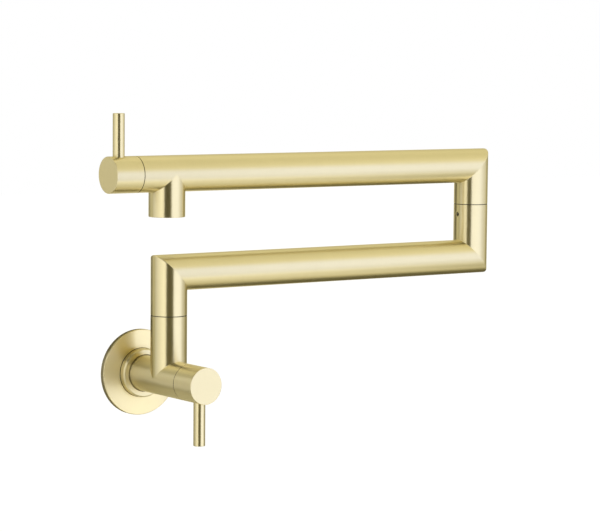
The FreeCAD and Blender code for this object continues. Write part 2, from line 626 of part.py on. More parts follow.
def cartridge_turning(valve):
    """The half that turns with the handle: moving disc, spindle, its seal, stop and clip."""
    name, frame = valve.name, valve.frame
    disc = Piece(f"{name}_moving_disc", frame).raised(
        "XY_Plane", "-moving_disc_base", "disc_thickness", lambda s: draw_circle(s, "disc_diameter / 2"))
    disc.sunk("XY_Plane", "-moving_disc_base", "disc_thickness",
              lambda s: draw_circle(s, "disc_hole / 2", ("0", "disc_hole_offset")), forward=True)
    disc.repeated(2)
    disc.sunk("XY_Plane", "-moving_disc_top", "key_depth", lambda s: draw_polygon(s, rectangle(
        "-disc_diameter", "-key_width / 2", "disc_diameter", "key_width / 2")))

    stem, thrust = "stem_radius", "thrust_diameter / 2"
    o_ring_floor = "stem_radius - stem_groove_depth"
    clip_floor = "stem_radius - clip_depth"
    clip_level = "(clip_base + clip_height / 2)"
    grooves = [("-stem_groove_level", "stem_groove_width", o_ring_floor),
               (clip_level, "clip_height + 2 * clip_clearance", clip_floor)]
    spindle = Piece(f"{name}_spindle", frame).turned(
        [("0", "-key_top"), (stem, "-key_top"), (stem, "-thrust_top - thrust_height"),
         (thrust, "-thrust_top - thrust_height"), (thrust, "-thrust_top"), (stem, "-thrust_top")]
        + grooved_wall(stem, grooves)
        + [(stem, "stem_tip - stem_lead"), ("stem_radius - stem_lead", "stem_tip"), ("0", "stem_tip")])
    key_half = "(key_width / 2 - key_clearance)"
    key_foot = "(moving_disc_top + key_depth - key_clearance)"
    spindle.raised("XY_Plane", f"-{key_foot}", f"{key_foot} - key_top", lambda s: draw_polygon(
        s, rectangle("-key_span / 2", f"-{key_half}", "key_span / 2", key_half)))
    spindle.sunk("XY_Plane", "stem_tip", "stem_tip - head_top", lambda s: draw_polygon(
        s, rectangle("-stem_diameter", "-stem_diameter", "-flat_radius", "stem_diameter")))

    o_ring(f"{name}_spindle_o_ring", along(frame, "-stem_groove_level"), o_ring_floor,
           "stem_bore - o_ring_play")
    ring = Piece(f"{name}_stop_ring", frame).turned(rectangle(
        "handle_bore", "stop_base", "stop_ring_outer / 2", "stop_top"))
    ring.turned(rectangle("stop_ring_outer / 2 - stop_play", "stop_base", "stop_lug_outer / 2", "stop_top"),
                start="valve_travel - stop_lug_angle / 2", sweep="stop_lug_angle")
    Piece(f"{name}_spindle_clip", frame).turned(
        rectangle(f"{clip_floor} + clip_clearance", "clip_base", "clip_outer / 2",
                  "clip_base + clip_height"), sweep="clip_angle")


# ---- handles ----------------------------------------------------------------------------------------

def handle(valve):
    """A round handle on the spindle, with a lever pin that points away from the branch."""
    name, frame = valve.name, valve.frame
    recess = "head_flange / 2 + handle_room"
    bore_end = "stem_tip + handle_bore_spare"
    hub = Piece(f"{name}_handle_hub", frame).turned([
        (recess, "handle_half_gap"), ("tube_radius - seam_break", "handle_half_gap"),
        ("tube_radius", "handle_half_gap + seam_break"), ("tube_radius", "handle_length - edge_break"),
        ("tube_radius - edge_break", "handle_length"), ("0", "handle_length"), ("0", bore_end),
        ("handle_bore", bore_end), ("handle_bore", "handle_recess"), (recess, "handle_recess")])
    lever_axis = ("0", "lever_level")
    hub.sunk("YZ_Plane", "0", "tube_outer",
             lambda s: draw_circle(s, "lever_stud / 2 + thread_clearance", lever_axis))
    hub.sunk("YZ_Plane", "-lever_seat_radius", "tube_outer",
             lambda s: draw_circle(s, "lever_diameter / 2 + lever_seat_clearance", lever_axis))

    outward = tuple(-step for step in frame.x_axis)
    lever_frame = along(frame, "lever_level", frame.z_axis, outward)
    stud, pin = "lever_stud / 2", "lever_diameter / 2"
    Piece(f"{name}_lever", lever_frame).turned([
        ("0", "lever_seat_radius - lever_stud_length"), (stud, "lever_seat_radius - lever_stud_length"),
        (stud, "lever_seat_radius"), (pin, "lever_seat_radius"), (pin, "lever_reach - edge_break"),
        (f"{pin} - edge_break", "lever_reach"), ("0", "lever_reach")])
    grub_end = "lever_seat_radius - lever_stud_length - grub_room"
    grub = Piece(f"{name}_grub_screw", lever_frame).turned(
        rectangle("0", "flat_radius", stud, grub_end))
    grub.sunk("XY_Plane", grub_end, "grub_key_depth",
              lambda s: draw_polygon(s, hexagon("grub_key")))


# ---- arms and swivels -------------------------------------------------------------------------------

def tube(label, frame, start, end, mitred_start=False, mitred_end=False):
    """A tube along z.  A mitre at the start leaves the -x side longer, one at the end the +x side."""
    reach = "tube_outer"
    base = f"{start} - {reach}" if mitred_start else start
    top = f"{end} + {reach}" if mitred_end else end

    def section(sketch):
        draw_circle(sketch, "tube_radius")
        draw_circle(sketch, "tube_bore")

    piece = Piece(label, frame).raised("XY_Plane", base, f"({top}) - ({base})", section)
    if mitred_start:
        piece.cut_across("XZ_Plane", [
            (f"-2 * {reach}", f"{start} - 2 * {reach}"), (f"2 * {reach}", f"{start} - 2 * {reach}"),
            (f"2 * {reach}", f"{start} + 2 * {reach}")])
    if mitred_end:
        piece.cut_across("XZ_Plane", [
            (f"-2 * {reach}", f"{end} - 2 * {reach}"), (f"2 * {reach}", f"{end} + 2 * {reach}"),
            (f"-2 * {reach}", f"{end} + 2 * {reach}")])
    return piece


def lower_arm():
    stub = tube("lower_arm_stub", RISER_SEAM._replace(x_axis=LEFT), "swivel_half_gap",
                "lower_arm_height - riser_seam_height", mitred_end=True)
    stub.chamfered("seam_break", circle_at("tube_radius", "z", "swivel_half_gap"))
    corner = Frame(("0", "-riser_offset", "lower_arm_height"), DOWN, RIGHT)
    tube("lower_arm_tube", corner, "0", "lower_arm_length", mitred_start=True, mitred_end=True)
    corner = Frame(("lower_arm_length", "-riser_offset", "lower_arm_height"), LEFT, UP)
    top = "post_seam_height - swivel_half_gap"
    post = tube("lower_arm_post", corner, "0", top, mitred_start=True)
    post.sunk("YZ_Plane", "0", "tube_outer", lambda s: draw_circle(
        s, "screw_diameter / 2 + thread_clearance", ("0", "post_seam_height - screw_drop")), forward=True)
    post.chamfered("seam_break", circle_at("tube_radius", "z", top))
    sleeve = Piece("post_socket", POST_SEAM).turned(rectangle(
        "socket_radius", "-socket_sleeve", "braze_radius", "-swivel_half_gap"))
    sleeve.sunk("YZ_Plane", "0", "tube_outer", lambda s: draw_circle(
        s, "screw_diameter / 2 + thread_clearance", ("0", "-screw_drop")), forward=True)


def upper_arm():
    stub = tube("upper_arm_stub", POST_SEAM._replace(x_axis=RIGHT), "swivel_half_gap",
                "arm_spacing - post_seam_height", mitred_end=True)
    stub.chamfered("seam_break", circle_at("tube_radius", "z", "swivel_half_gap"))
    corner = Frame(("lower_arm_length", "-riser_offset", "upper_arm_height"), DOWN, LEFT)
    tube("upper_arm_tube", corner, "0", "upper_arm_reach - spout_valve_tail", mitred_start=True)


def swivel(name, seam):
    """A spigot on the arm above, its two O-rings, the slip washer and the screw that holds it down."""
    ring_width = "o_ring_groove_width"
    grooves = [("-o_ring_lower", ring_width, "o_ring_floor"), ("-o_ring_upper", ring_width, "o_ring_floor"),
               ("-screw_drop", "dog_diameter + 2 * dog_play", "screw_groove_radius")]
    Piece(f"{name}_spigot", seam).turned(
        [("spigot_bore / 2", "-spigot_length"), ("spigot_radius - spigot_lead", "-spigot_length"),
         ("spigot_radius", "-spigot_length + spigot_lead")]
        + grooved_wall("spigot_radius", grooves)
        + [("spigot_radius", "swivel_half_gap"), ("braze_radius", "swivel_half_gap"),
           ("braze_radius", "spigot_head"), ("spigot_bore / 2", "spigot_head")])
    for side in ("upper", "lower"):
        o_ring(f"{name}_o_ring_{side}", along(seam, f"-o_ring_{side}"), "o_ring_floor",
               "socket_radius - o_ring_play")
    Piece(f"{name}_slip_washer", seam).turned(rectangle(
        "spigot_radius + 3 * swivel_clearance", "-swivel_half_gap",
        "tube_radius - slip_washer_inset", "slip_washer - swivel_half_gap"))
    set_screw(f"{name}_set_screw", along(seam, "-screw_drop", UP, seam.x_axis),
              "screw_groove_radius + dog_play", "socket_radius + dog_play", "tube_radius - screw_sink")


# ---- the whole object -------------------------------------------------------------------------------

def check_and_export():
    """Stops on anything that failed, then writes one file for each piece."""
    for item in doc.Objects:
        if {"Invalid", "Error"} & set(item.State):
            raise RuntimeError(f"{item.Label} ({item.Name}) failed: {item.State}")
    for piece in pieces:
        if piece.Shape.isNull() or not piece.Shape.isValid() or not piece.Shape.Solids:
            raise RuntimeError(f"{piece.Label} has no valid solid")
    os.makedirs("parts", exist_ok=True)
    for piece in pieces:
        piece.Shape.exportStep(os.path.join("parts", piece.Label + ".step"))


wall_cover()
inlet()
wall_valve_body()
lower_arm()
upper_arm()
spout_valve_body()
aerator()
swivel("riser", RISER_SEAM)
swivel("post", POST_SEAM)
for each_valve in VALVES:
    cartridge_fixed(each_valve)
    cartridge_turning(each_valve)
    handle(each_valve)
doc.recompute()
check_and_export()
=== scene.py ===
"""Wall mounted pot filler: detailed pieces, finishes, light and camera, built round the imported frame.

Shapes are worked out in millimetres on each piece's own axis, which is its object's z axis.
"""

import json
from collections import namedtuple
from math import asin, atan2, ceil, cos, degrees, pi, radians, sin, sqrt, tan

import bmesh
import bpy
from bpy.props import FloatProperty, FloatVectorProperty, PointerProperty
from mathutils import Matrix, Vector


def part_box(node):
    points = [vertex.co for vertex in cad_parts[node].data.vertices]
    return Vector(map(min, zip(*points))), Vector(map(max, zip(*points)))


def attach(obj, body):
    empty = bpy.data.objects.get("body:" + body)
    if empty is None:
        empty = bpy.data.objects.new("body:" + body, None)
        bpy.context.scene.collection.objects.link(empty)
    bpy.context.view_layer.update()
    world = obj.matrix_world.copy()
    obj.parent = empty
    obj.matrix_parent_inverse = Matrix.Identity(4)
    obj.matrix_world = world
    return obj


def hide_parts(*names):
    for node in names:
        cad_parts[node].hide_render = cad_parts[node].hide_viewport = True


bl_info = {
    "name": "Wall mounted pot filler",
    "version": (1, 0, 0),
    "blender": (4, 5, 0),
    "location": "3D View > Sidebar > Pot Filler",
    "description": "Builds the pieces, finishes and studio of a wall mounted pot filler",
    "category": "Object",
}

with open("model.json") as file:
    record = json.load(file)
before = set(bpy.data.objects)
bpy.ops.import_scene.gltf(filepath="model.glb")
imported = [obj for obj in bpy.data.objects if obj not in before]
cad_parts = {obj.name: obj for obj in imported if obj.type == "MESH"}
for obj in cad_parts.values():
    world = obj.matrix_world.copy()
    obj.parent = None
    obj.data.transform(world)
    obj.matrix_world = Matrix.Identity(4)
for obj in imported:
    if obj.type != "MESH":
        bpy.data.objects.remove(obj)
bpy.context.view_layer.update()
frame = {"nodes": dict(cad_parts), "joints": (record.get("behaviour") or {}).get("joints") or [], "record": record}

MM = 0.001

# ---- sizes read from the frame ----------------------------------------------------------------------


def joint_place(name):
    """Where a joint sits, in millimetres."""
    place = next(joint["pos_m"] for joint in frame["joints"] if joint["name"] == name)
    return Vector(place) / MM


def node_box(name):
    """Lowest and highest corner of a node, in millimetres."""
    return tuple(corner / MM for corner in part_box(name))


WALL_SEAM = joint_place("wall_valve_turn")
RISER_SEAM = joint_place("lower_arm_swing")
POST_SEAM = joint_place("upper_arm_swing")
SPOUT_SEAM = joint_place("spout_valve_turn")

LOWER_TUBE = node_box("lower_arm_tube")
UPPER_TUBE = node_box("upper_arm_tube")
TUBE_RADIUS = (LOWER_TUBE[1].y - LOWER_TUBE[0].y) / 2
LOWER_LEVEL = (LOWER_TUBE[0].z + LOWER_TUBE[1].z) / 2
UPPER_LEVEL = SPOUT_SEAM.z
RISER_AXIS = Vector((RISER_SEAM.x, RISER_SEAM.y, 0))
POST_AXIS = Vector((POST_SEAM.x, POST_SEAM.y, 0))
SPOUT_BOX = node_box("spout_valve_body")
SPOUT_FROM_TAIL = 22.0
SPOUT_X = SPOUT_BOX[1].x - SPOUT_FROM_TAIL
MOUTH_LEVEL = SPOUT_BOX[0].z

RIGHT, LEFT = Vector((1, 0, 0)), Vector((-1, 0, 0))
INTO_WALL, OUT_OF_WALL = Vector((0, 1, 0)), Vector((0, -1, 0))
UP, DOWN = Vector((0, 0, 1)), Vector((0, 0, -1))

# ---- sizes inside the pieces, as they are drawn for the solids --------------------------------------

TUBE_BORE = TUBE_RADIUS - 1.5
BRAZE_RADIUS = TUBE_BORE - 0.02
HALF_SWIVEL_GAP = 0.25
HALF_HANDLE_GAP = 0.3
SOCKET_RADIUS = 8.0
SOCKET_DEPTH = 21.2
SCREW_DROP = 7.5
SCREW_RADIUS = 1.5
SCREW_HOLE = 1.55
SCREW_HEAD = TUBE_RADIUS - 0.6
HANDLE_LENGTH = 21.4
# (radius, how far it goes in) of the round hollows at a handle's back and inside a valve body
HANDLE_RECESS = (11.5, 8.5)
HANDLE_BORE = (4.03, 17.3)
CAVITY = ((10.25, 14.0), (10.0, 30.5))
LEVER_LEVEL = 13.2
LEVER_RADIUS = 4.0
LEVER_SEAT = 11.3
LEVER_REACH = 41.25
LEVER_HOLE = 4.05
STUD_RADIUS = 2.5
STUD_FOOT = LEVER_SEAT - 3.0
WATERWAY = 6.0
THREAD_PITCH = 1.814
THREAD_DEPTH = 1.162
THREAD_SEAT = 14.0
SADDLE_POCKET = 1.2
SPIGOT = 5.0
MOUTH_DEPTH = 12.0
MOUTH_RADIUS = 10.35
COLLAR_SCREW = 6.8

# ---- the stage: where cards stand on the floor, seen from above, and how high they reach ------------

# the place that bearings and heights of the light are taken from
MIDDLE = Vector((130, -40, 90))
LEFT_CARD = ((-359, -358), (-560, 447))
BACK_CARD = ((-60, 420), (-330, 250))
FRONT_CARD = ((-14.5, -454), (650, -950), (1350, -300), (1350, 200))
CARD_FOOT = -290
LEFT_TOP, FRONT_TOP = 350, 700
BACK_SPAN = (75, 330)
# where the photograph was taken from, and its angles in degrees
CAMERA_PLACE = Vector((-859.6546, -1407.7592, 225.6258))
CAMERA_YAW, CAMERA_PITCH, CAMERA_ROLL = 35.3279, -5.2314, 0.5144
SENSOR_WIDTH = 36.0
WHITE = (1, 1, 1, 1)

# ---- how finely pieces are divided -------------------------------------------------------------------

# columns round an axis
SIDES, WIDE_SIDES, PIN_SIDES, SCREW_SIDES, HOLE_SIDES = 96, 192, 64, 48, 24
# most millimetres from one row to the next
ROW_STEP, SHORT_STEP = 7.0, 4
# steps in a rounded edge, from a window to its drilled hole, and across a mitre's crease
ARC_STEPS, DRILL_STEPS, MITRE_STEPS = 5, 3, 9
# a set screw's window: columns on each side of its hole, and millimetres above and below it
PORT_HALF, PORT_HEIGHT = 4, 3.2
# plain wall left between a crease and the first row
MITRE_MARGIN, SADDLE_MARGIN = 3.0, 0.6
# where rows run across the seat under a branch and the aerator's notches
ACROSS = (-1, -0.5, 0, 0.5, 1)
# faces that meet at more than this keep a sharp edge
SHARP_ANGLE = radians(38)
# points nearer than this, in metres, become one
WELD = 1e-7

# a piece's materials where its second one paints shade on the faces inside its seams
SEAM_SHADED = ["brushed_gold", "gap_gold"]


def settings():
    """What the user set for this scene."""
    return bpy.context.scene.pot_filler


# ---- laying out a piece ------------------------------------------------------------------------------

class Barrel:
    """A piece's own axis: where it starts, which way it runs, and where its angle 0 points."""

    def __init__(self, origin, axis, zero):
        side = axis.cross(zero)
        turn = Matrix((zero, side, axis)).transposed().to_4x4()
        self.matrix = Matrix.Translation(Vector(origin) * MM) @ turn


Spot = namedtuple("Spot", "angle level radius")


def at(value, angle):
    """A height or radius that may depend on the angle."""
    return value(angle) if callable(value) else value


def spread(start, end, step=ROW_STEP):
    """Levels from start to end, both included, at most a step apart."""
    count = max(1, ceil(abs(end - start) / step))
    return [start + (end - start) * i / count for i in range(count + 1)]


def softened(outline):
    """An outline of (height, radius, rounding) corners with each corner turned into an arc."""
    count = len(outline)
    points = []
    for i, (height, radius, rounding) in enumerate(outline):
        if not rounding:
            points.append((height, radius))
            continue
        corner = Vector((height, radius))
        back = (Vector(outline[i - 1][:2]) - corner).normalized()
        ahead = (Vector(outline[(i + 1) % count][:2]) - corner).normalized()
        opening = back.angle(ahead)
        centre = corner + (back + ahead).normalized() * rounding / sin(opening / 2)
        reach = rounding / tan(opening / 2)
        first = corner + back * reach - centre
        turn = (pi - opening) * (-1 if back.x * ahead.y - back.y * ahead.x > 0 else 1)
        for k in range(ARC_STEPS + 1):
            step = turn * k / ARC_STEPS
            points.append((centre.x + first.x * cos(step) - first.y * sin(step),
                           centre.y + first.x * sin(step) + first.y * cos(step)))
    return points


class Shell:
    """Gathers the faces of one piece on its own axis and closes them into one mesh."""

    def __init__(self, sides=SIDES, angles=None):
        self.angles = angles or [2 * pi * i / sides for i in range(sides)]
        self.sides = len(self.angles)
        self.build = bmesh.new()

    def point(self, x, y, z):
        return self.build.verts.new((x * MM, y * MM, z * MM))

    def ring(self, height, radius):
        """A ring of points round the axis."""
        return [self.point(at(radius, a) * cos(a), at(radius, a) * sin(a), at(height, a))
                for a in self.angles]

    def rings(self, levels, radius):
        """Rings of one radius at each level."""
        return [self.ring(level, radius) for level in levels]

    def outline(self, points):
        """Rings through (height, radius) points."""
        return [self.ring(height, radius) for height, radius in points]

    def row(self, shape, start=0, way=1):
        """A ring whose height and radius both come from one function of the angle."""
        return self.ring(lambda a: start + way * shape(a)[0], lambda a: shape(a)[1])

    def belt(self, low, high, skipped=(), finish=0):
        """Faces between two rings, except in the skipped columns."""
        count = len(low)
        for i in range(count):
            if i not in skipped:
                j = (i + 1) % count
                self.build.faces.new((low[i], low[j], high[j], high[i])).material_index = finish

    def belts(self, rings, window=None, finish=0):
        """Faces between each ring and the next, leaving a window open."""
        for i, (low, high) in enumerate(zip(rings, rings[1:])):
            skipped = window.columns if window and window.first <= i < window.last else ()
            self.belt(low, high, skipped, finish)

    def fan(self, ring, height, finish=0):
        """Closes a ring with faces that meet on the axis."""
        self.cone(ring, self.point(0, 0, height), finish)

    def cone(self, ring, centre, finish=0):
        """Closes a ring with faces that meet in a point."""
        for i, corner in enumerate(ring):
            self.build.faces.new((corner, ring[(i + 1) % len(ring)], centre)).material_index = finish

    def turn(self, points, second):
        """Turns an outline of (height, radius) points. It either closes or ends on the axis twice.

        second tells between which points the faces take the second material.
        """
        closed = all(radius for _, radius in points)
        rings = [self.ring(h, r) if r else self.point(0, 0, h) for h, r in points]
        spans = list(zip(points, points[1:], rings, rings[1:]))
        if closed:
            spans.append((points[-1], points[0], rings[-1], rings[0]))
        for low_at, high_at, low, high in spans:
            finish = 1 if second(low_at, high_at) else 0
            if not low_at[1]:
                self.cone(high, low, finish)
            elif not high_at[1]:
                self.cone(low, high, finish)
            else:
                self.belt(low, high, finish=finish)

    def drill(self, edge, spot, hole, rim):
        """Fills from a window's edge to a round hole, rounds its rim, and returns the rim's foot."""
        turn_cos, turn_sin = cos(spot.angle), sin(spot.angle)

        def placed(x, across, up):
            return self.point(x * turn_cos - across * turn_sin,
                              x * turn_sin + across * turn_cos, spot.level + up)

        heading = [atan2(up, along) for _, along, up in edge]
        ring = [corner for corner, _, _ in edge]
        wider = hole + rim
        for k in range(1, DRILL_STEPS + 1):
            part = k / DRILL_STEPS
            following = []
            for (_, along, up), theta in zip(edge, heading):
                target = spot.radius * asin(wider * cos(theta) / spot.radius)
                bend = (along * (1 - part) + target * part) / spot.radius
                height = up * (1 - part) + wider * sin(theta) * part
                following.append(placed(spot.radius * cos(bend), spot.radius * sin(bend), height))
            self.belt(ring, following)
            ring = following
        for k in range(1, DRILL_STEPS + 1 if rim else 1):
            lean = pi / 2 * k / DRILL_STEPS
            radius, sink = hole + rim * (1 - sin(lean)), rim * (1 - cos(lean))
            following = [placed(sqrt(spot.radius ** 2 - (radius * cos(t)) ** 2) - sink,
                                radius * cos(t), radius * sin(t)) for t in heading]
            self.belt(ring, following)
            ring = following
        self.heading, self.placed = heading, placed
        return ring

    def bore_down(self, ring, steps):
        """Goes on down a drilled hole through (radius, distance from the axis) steps, then closes it."""
        for radius, depth in steps:
            following = [self.placed(depth, radius * cos(t), radius * sin(t)) for t in self.heading]
            self.belt(ring, following)
            ring = following
        self.cone(ring, self.placed(steps[-1][1], 0, 0))

    def piece(self, node, barrel, body, slot="brushed_gold", materials=None, name=None):
        """Welds, checks and hands over the finished object, named after its node or as told."""
        name = f"{name or node}_detailed"
        build = self.build
        bmesh.ops.remove_doubles(build, verts=build.verts, dist=WELD)
        bmesh.ops.dissolve_degenerate(build, dist=WELD, edges=build.edges)
        loose = [v for v in build.verts if not v.link_faces]
        bmesh.ops.delete(build, geom=loose, context="VERTS")
        open_edges = [e for e in build.edges if len(e.link_faces) != 2]
        if open_edges:
            where = [tuple(round(c / MM, 2) for c in e.verts[0].co) for e in open_edges[:4]]
            raise RuntimeError(f"{name}: {len(open_edges)} edges don't join two faces, near {where}")
        bmesh.ops.recalc_face_normals(build, faces=build.faces)
        if build.calc_volume(signed=True) < 0:
            bmesh.ops.reverse_faces(build, faces=build.faces)
        mesh = bpy.data.meshes.new(name)
        build.to_mesh(mesh)
        build.free()
        return settle(mesh, name, barrel, body, [node], materials or [slot])


def settle(mesh, name, barrel, body, nodes, materials):
    """Makes the object for a mesh, shades it and lets it ride on its body."""
    for polygon in mesh.polygons:
        polygon.use_smooth = True
    mesh.set_sharp_from_angle(angle=SHARP_ANGLE)
    for material in materials:
        mesh.materials.append(bpy.data.materials[material])
    piece = bpy.data.objects.new(name, mesh)
    bpy.context.scene.collection.objects.link(piece)
    piece.matrix_world = barrel.matrix
    shading = piece.modifiers.new("even_shading", "WEIGHTED_NORMAL")
    shading.keep_sharp = True
    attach(piece, body)
    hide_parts(*nodes)
    return piece


# ---- windows for drilled holes ----------------------------------------------------------------------

Window = namedtuple("Window", "columns first last centre half")


def window_at(shell, angle, half, rings_before, rows):
    """The columns on both sides of an angle and the rows that a drilled hole's window takes."""
    centre = round(angle / (2 * pi) * shell.sides)
    columns = {(centre + i) % shell.sides for i in range(-half, half)}
    return Window(columns, rings_before, rings_before + rows, centre, half)


def window_edge(shell, rings, window, spot):
    """The window's edge in order, as (point, way round the axis, height above the hole)."""
    step = 2 * pi / shell.sides
    walk = [(i, window.first) for i in range(-window.half, window.half)]
    walk += [(window.half, row) for row in range(window.first, window.last)]
    walk += [(i, window.last) for i in range(window.half, -window.half, -1)]
    walk += [(-window.half, row) for row in range(window.last, window.first, -1)]
    edge = []
    for column, row in walk:
        corner = rings[row][(window.centre + column) % shell.sides]
        edge.append((corner, column * step * spot.radius, corner.co.z / MM - spot.level))
    return edge


def levels_with_window(levels, middle, half, rows):
    """Rising levels cleared round a hole, with evenly spaced rows put in for its window.

    Returns them and the number of the window's first row.
    """
    span = [middle - half + 2 * half * i / rows for i in range(rows + 1)]
    cleared = half * 1.05
    below = [v for v in levels if v < middle - cleared]
    above = [v for v in levels if v > middle + cleared]
    return below + span + above, len(below)


# ---- mitred tubes ------------------------------------------------------------------------------------

def crease(lean, rounding):
    """The arc that softens a 45 degree mitre, as (distance before the plain corner, sag) pairs.

    lean is how far the column is turned towards the corner, from 0 at the side to 1.
    """
    spread_angle = atan2(lean, 1 - lean * lean)
    reach = tan(spread_angle / 2)
    half = reach / (1 + sqrt(max(0.0, 1 + reach * (2 * lean - reach))))
    full = 2 * atan2(half, 1)
    turns = [full * k / MITRE_STEPS for k in range(MITRE_STEPS + 1)]
    return [(rounding * (reach - sin(turn)), rounding * (1 - cos(turn))) for turn in turns]


def mitre(outer_side):
    """Height and radius of each row of a mitre at the tube's end, as functions of the angle.

    outer_side is 1 where the long side is at angle 0 and -1 where it is opposite.
    """
    sizes = settings().sizes
    rows = []
    for k in range(MITRE_STEPS + 1):
        def shape(angle, k=k):
            out = outer_side * cos(angle)
            rounding = (sizes.outer_mitre if out > 0 else sizes.inner_mitre) / MM
            before, sag = crease(abs(out), rounding)[k]
            return TUBE_RADIUS * out - before, TUBE_RADIUS - sag * (1 if out > 0 else -1)
        rows.append(shape)
    return rows


End = namedtuple("End", "cut outer_side rounding")


def plain(rounding=0.0):
    """A square end with its outer edge rounded."""
    return End("plain", 0, rounding)


def mitred(outer_side):
    """A 45 degree end whose long side is at angle 0 for 1 and opposite for -1."""
    return End("mitre", outer_side, 0)


def tube_skin(shell, length, start, end, port=None):
    """Rings of a tube's outside and inside.

    port is the height of a set screw's hole, and adds the first rows of its windows in both.
    """
    outer, inner = [], []
    margin = TUBE_RADIUS + MITRE_MARGIN
    low = margin if start.cut == "mitre" else start.rounding
    high = length - margin if end.cut == "mitre" else length - end.rounding
    levels = spread(low, high)
    first = None
    if port:
        levels, first = levels_with_window(levels, port, PORT_HEIGHT, 2 * PORT_HALF)
    if start.cut == "mitre":
        rows = mitre(start.outer_side)
        outer += [shell.row(shape, way=-1) for shape in reversed(rows)]
        inner.append(shell.ring(lambda a: -TUBE_BORE * start.outer_side * cos(a), TUBE_BORE))
    else:
        outer += rounded_end(shell, 0, 1, start.rounding)
        inner.append(shell.ring(0, TUBE_BORE))
    first_outer, first_inner = len(outer), len(inner)
    skip = 1 if start.cut == "plain" else 0
    outer += shell.rings(levels[skip:], TUBE_RADIUS)
    inner += shell.rings(levels[skip:], TUBE_BORE)
    if end.cut == "mitre":
        rows = mitre(end.outer_side)
        outer += [shell.row(shape, start=length) for shape in rows]
        inner.append(shell.ring(lambda a: length + TUBE_BORE * end.outer_side * cos(a), TUBE_BORE))
    else:
        outer.pop()
        inner.pop()
        outer += rounded_end(shell, length, -1, end.rounding)[::-1]
        inner.append(shell.ring(length, TUBE_BORE))
    offset = None if first is None else (first - skip + first_outer, first - skip + first_inner)
    return outer, inner, offset


def rounded_end(shell, height, way, rounding):
    """Rings of a rounded outer edge, from the end face to the side."""
    if not rounding:
        return [shell.ring(height, TUBE_RADIUS)]
    return [shell.ring(height + way * rounding * (1 - cos(pi / 2 * k / ARC_STEPS)),
                       TUBE_RADIUS - rounding * (1 - sin(pi / 2 * k / ARC_STEPS)))
            for k in range(ARC_STEPS + 1)]


def screw_port(shell, skins, angle, level):
    """Drills a set screw's hole through a wall.

    skins are the outer and the inner one, each (rings, first row of its window, radius).
    """
    feet = []
    for (rings, first, radius), rim in zip(skins, (settings().sizes.hole_rim / MM, 0)):
        window = window_at(shell, angle, PORT_HALF, first, 2 * PORT_HALF)
        spot = Spot(angle, level, radius)
        shell.belts(rings, window)
        feet.append(shell.drill(window_edge(shell, rings, window, spot), spot, SCREW_HOLE, rim))
    shell.belt(*feet)


def arm_tube(node, body, origin, axis, zero, length, start, end, screw=None):
    """One brazed length of arm tube. screw is (angle, height) of a set screw's hole."""
    shell = Shell()
    outer, inner, offset = tube_skin(shell, length, start, end, screw and screw[1])
    if screw:
        screw_port(shell, ((outer, offset[0], TUBE_RADIUS), (inner, offset[1], TUBE_BORE)), *screw)
    else:
        shell.belts(outer)
        shell.belts(inner)
    # plain ends at a swivel seam take the dark gold, a painted shade inside the seam
    shell.belt(outer[0], inner[0], finish=1 if start.cut == "plain" else 0)
    shell.belt(outer[-1], inner[-1], finish=1 if end.cut == "plain" else 0)
    shell.piece(node, Barrel(origin, axis, zero), body, materials=SEAM_SHADED)


# ---- valve bodies: a round bar and an equal branch --------------------------------------------------

def saddle_rows(rounding):
    """Rows of the crease on the bar's side, as functions of the angle from the branch."""
    rows = []
    for k in range(MITRE_STEPS + 1):
        def shape(angle, k=k):
            lean = max(cos(angle), 0.0)
            before, rise = crease(lean, rounding)[k]
            return TUBE_RADIUS * lean + before, TUBE_RADIUS + rise
        rows.append(shape)
    return rows


def pocket(angle):
    """Radius of the shallow seat under the branch."""
    return TUBE_RADIUS - SADDLE_POCKET * abs(cos(angle))


def bar(name, node, body, barrel, nose, tail, tail_rings, hollow):
    """The bar of a valve body, with the seat for its branch at height 0 and angle 0.

    tail_rings and hollow are (height, radius) rings of what stands out at its tail and of its inside.
    """
    sizes = settings().sizes
    shell = Shell()
    rows = saddle_rows(sizes.saddle / MM)
    clear = TUBE_RADIUS + sizes.saddle / MM + SADDLE_MARGIN
    seam = sizes.seam_edge / MM
    rings = rounded_end(shell, -nose, 1, seam)
    rings += shell.rings(spread(-nose + seam, -clear, SHORT_STEP)[1:], TUBE_RADIUS)
    rings += [shell.row(shape, way=-1) for shape in rows]
    for part in ACROSS:
        rings.append(shell.ring(lambda a, p=part: p * pocket(a) * max(cos(a), 0.0),
                                lambda a: pocket(a) if cos(a) > 0 else TUBE_RADIUS))
    rings += [shell.row(shape) for shape in reversed(rows)]
    rings += shell.rings(spread(clear, tail, SHORT_STEP), TUBE_RADIUS)
    rings += shell.outline(tail_rings + hollow[::-1])
    shell.belts(rings)
    # the nose's end face at the handle seam takes the dark gold, a painted shade
    shell.belt(rings[-1], rings[0], finish=1)
    shell.piece(node, barrel, body, materials=SEAM_SHADED, name=name)


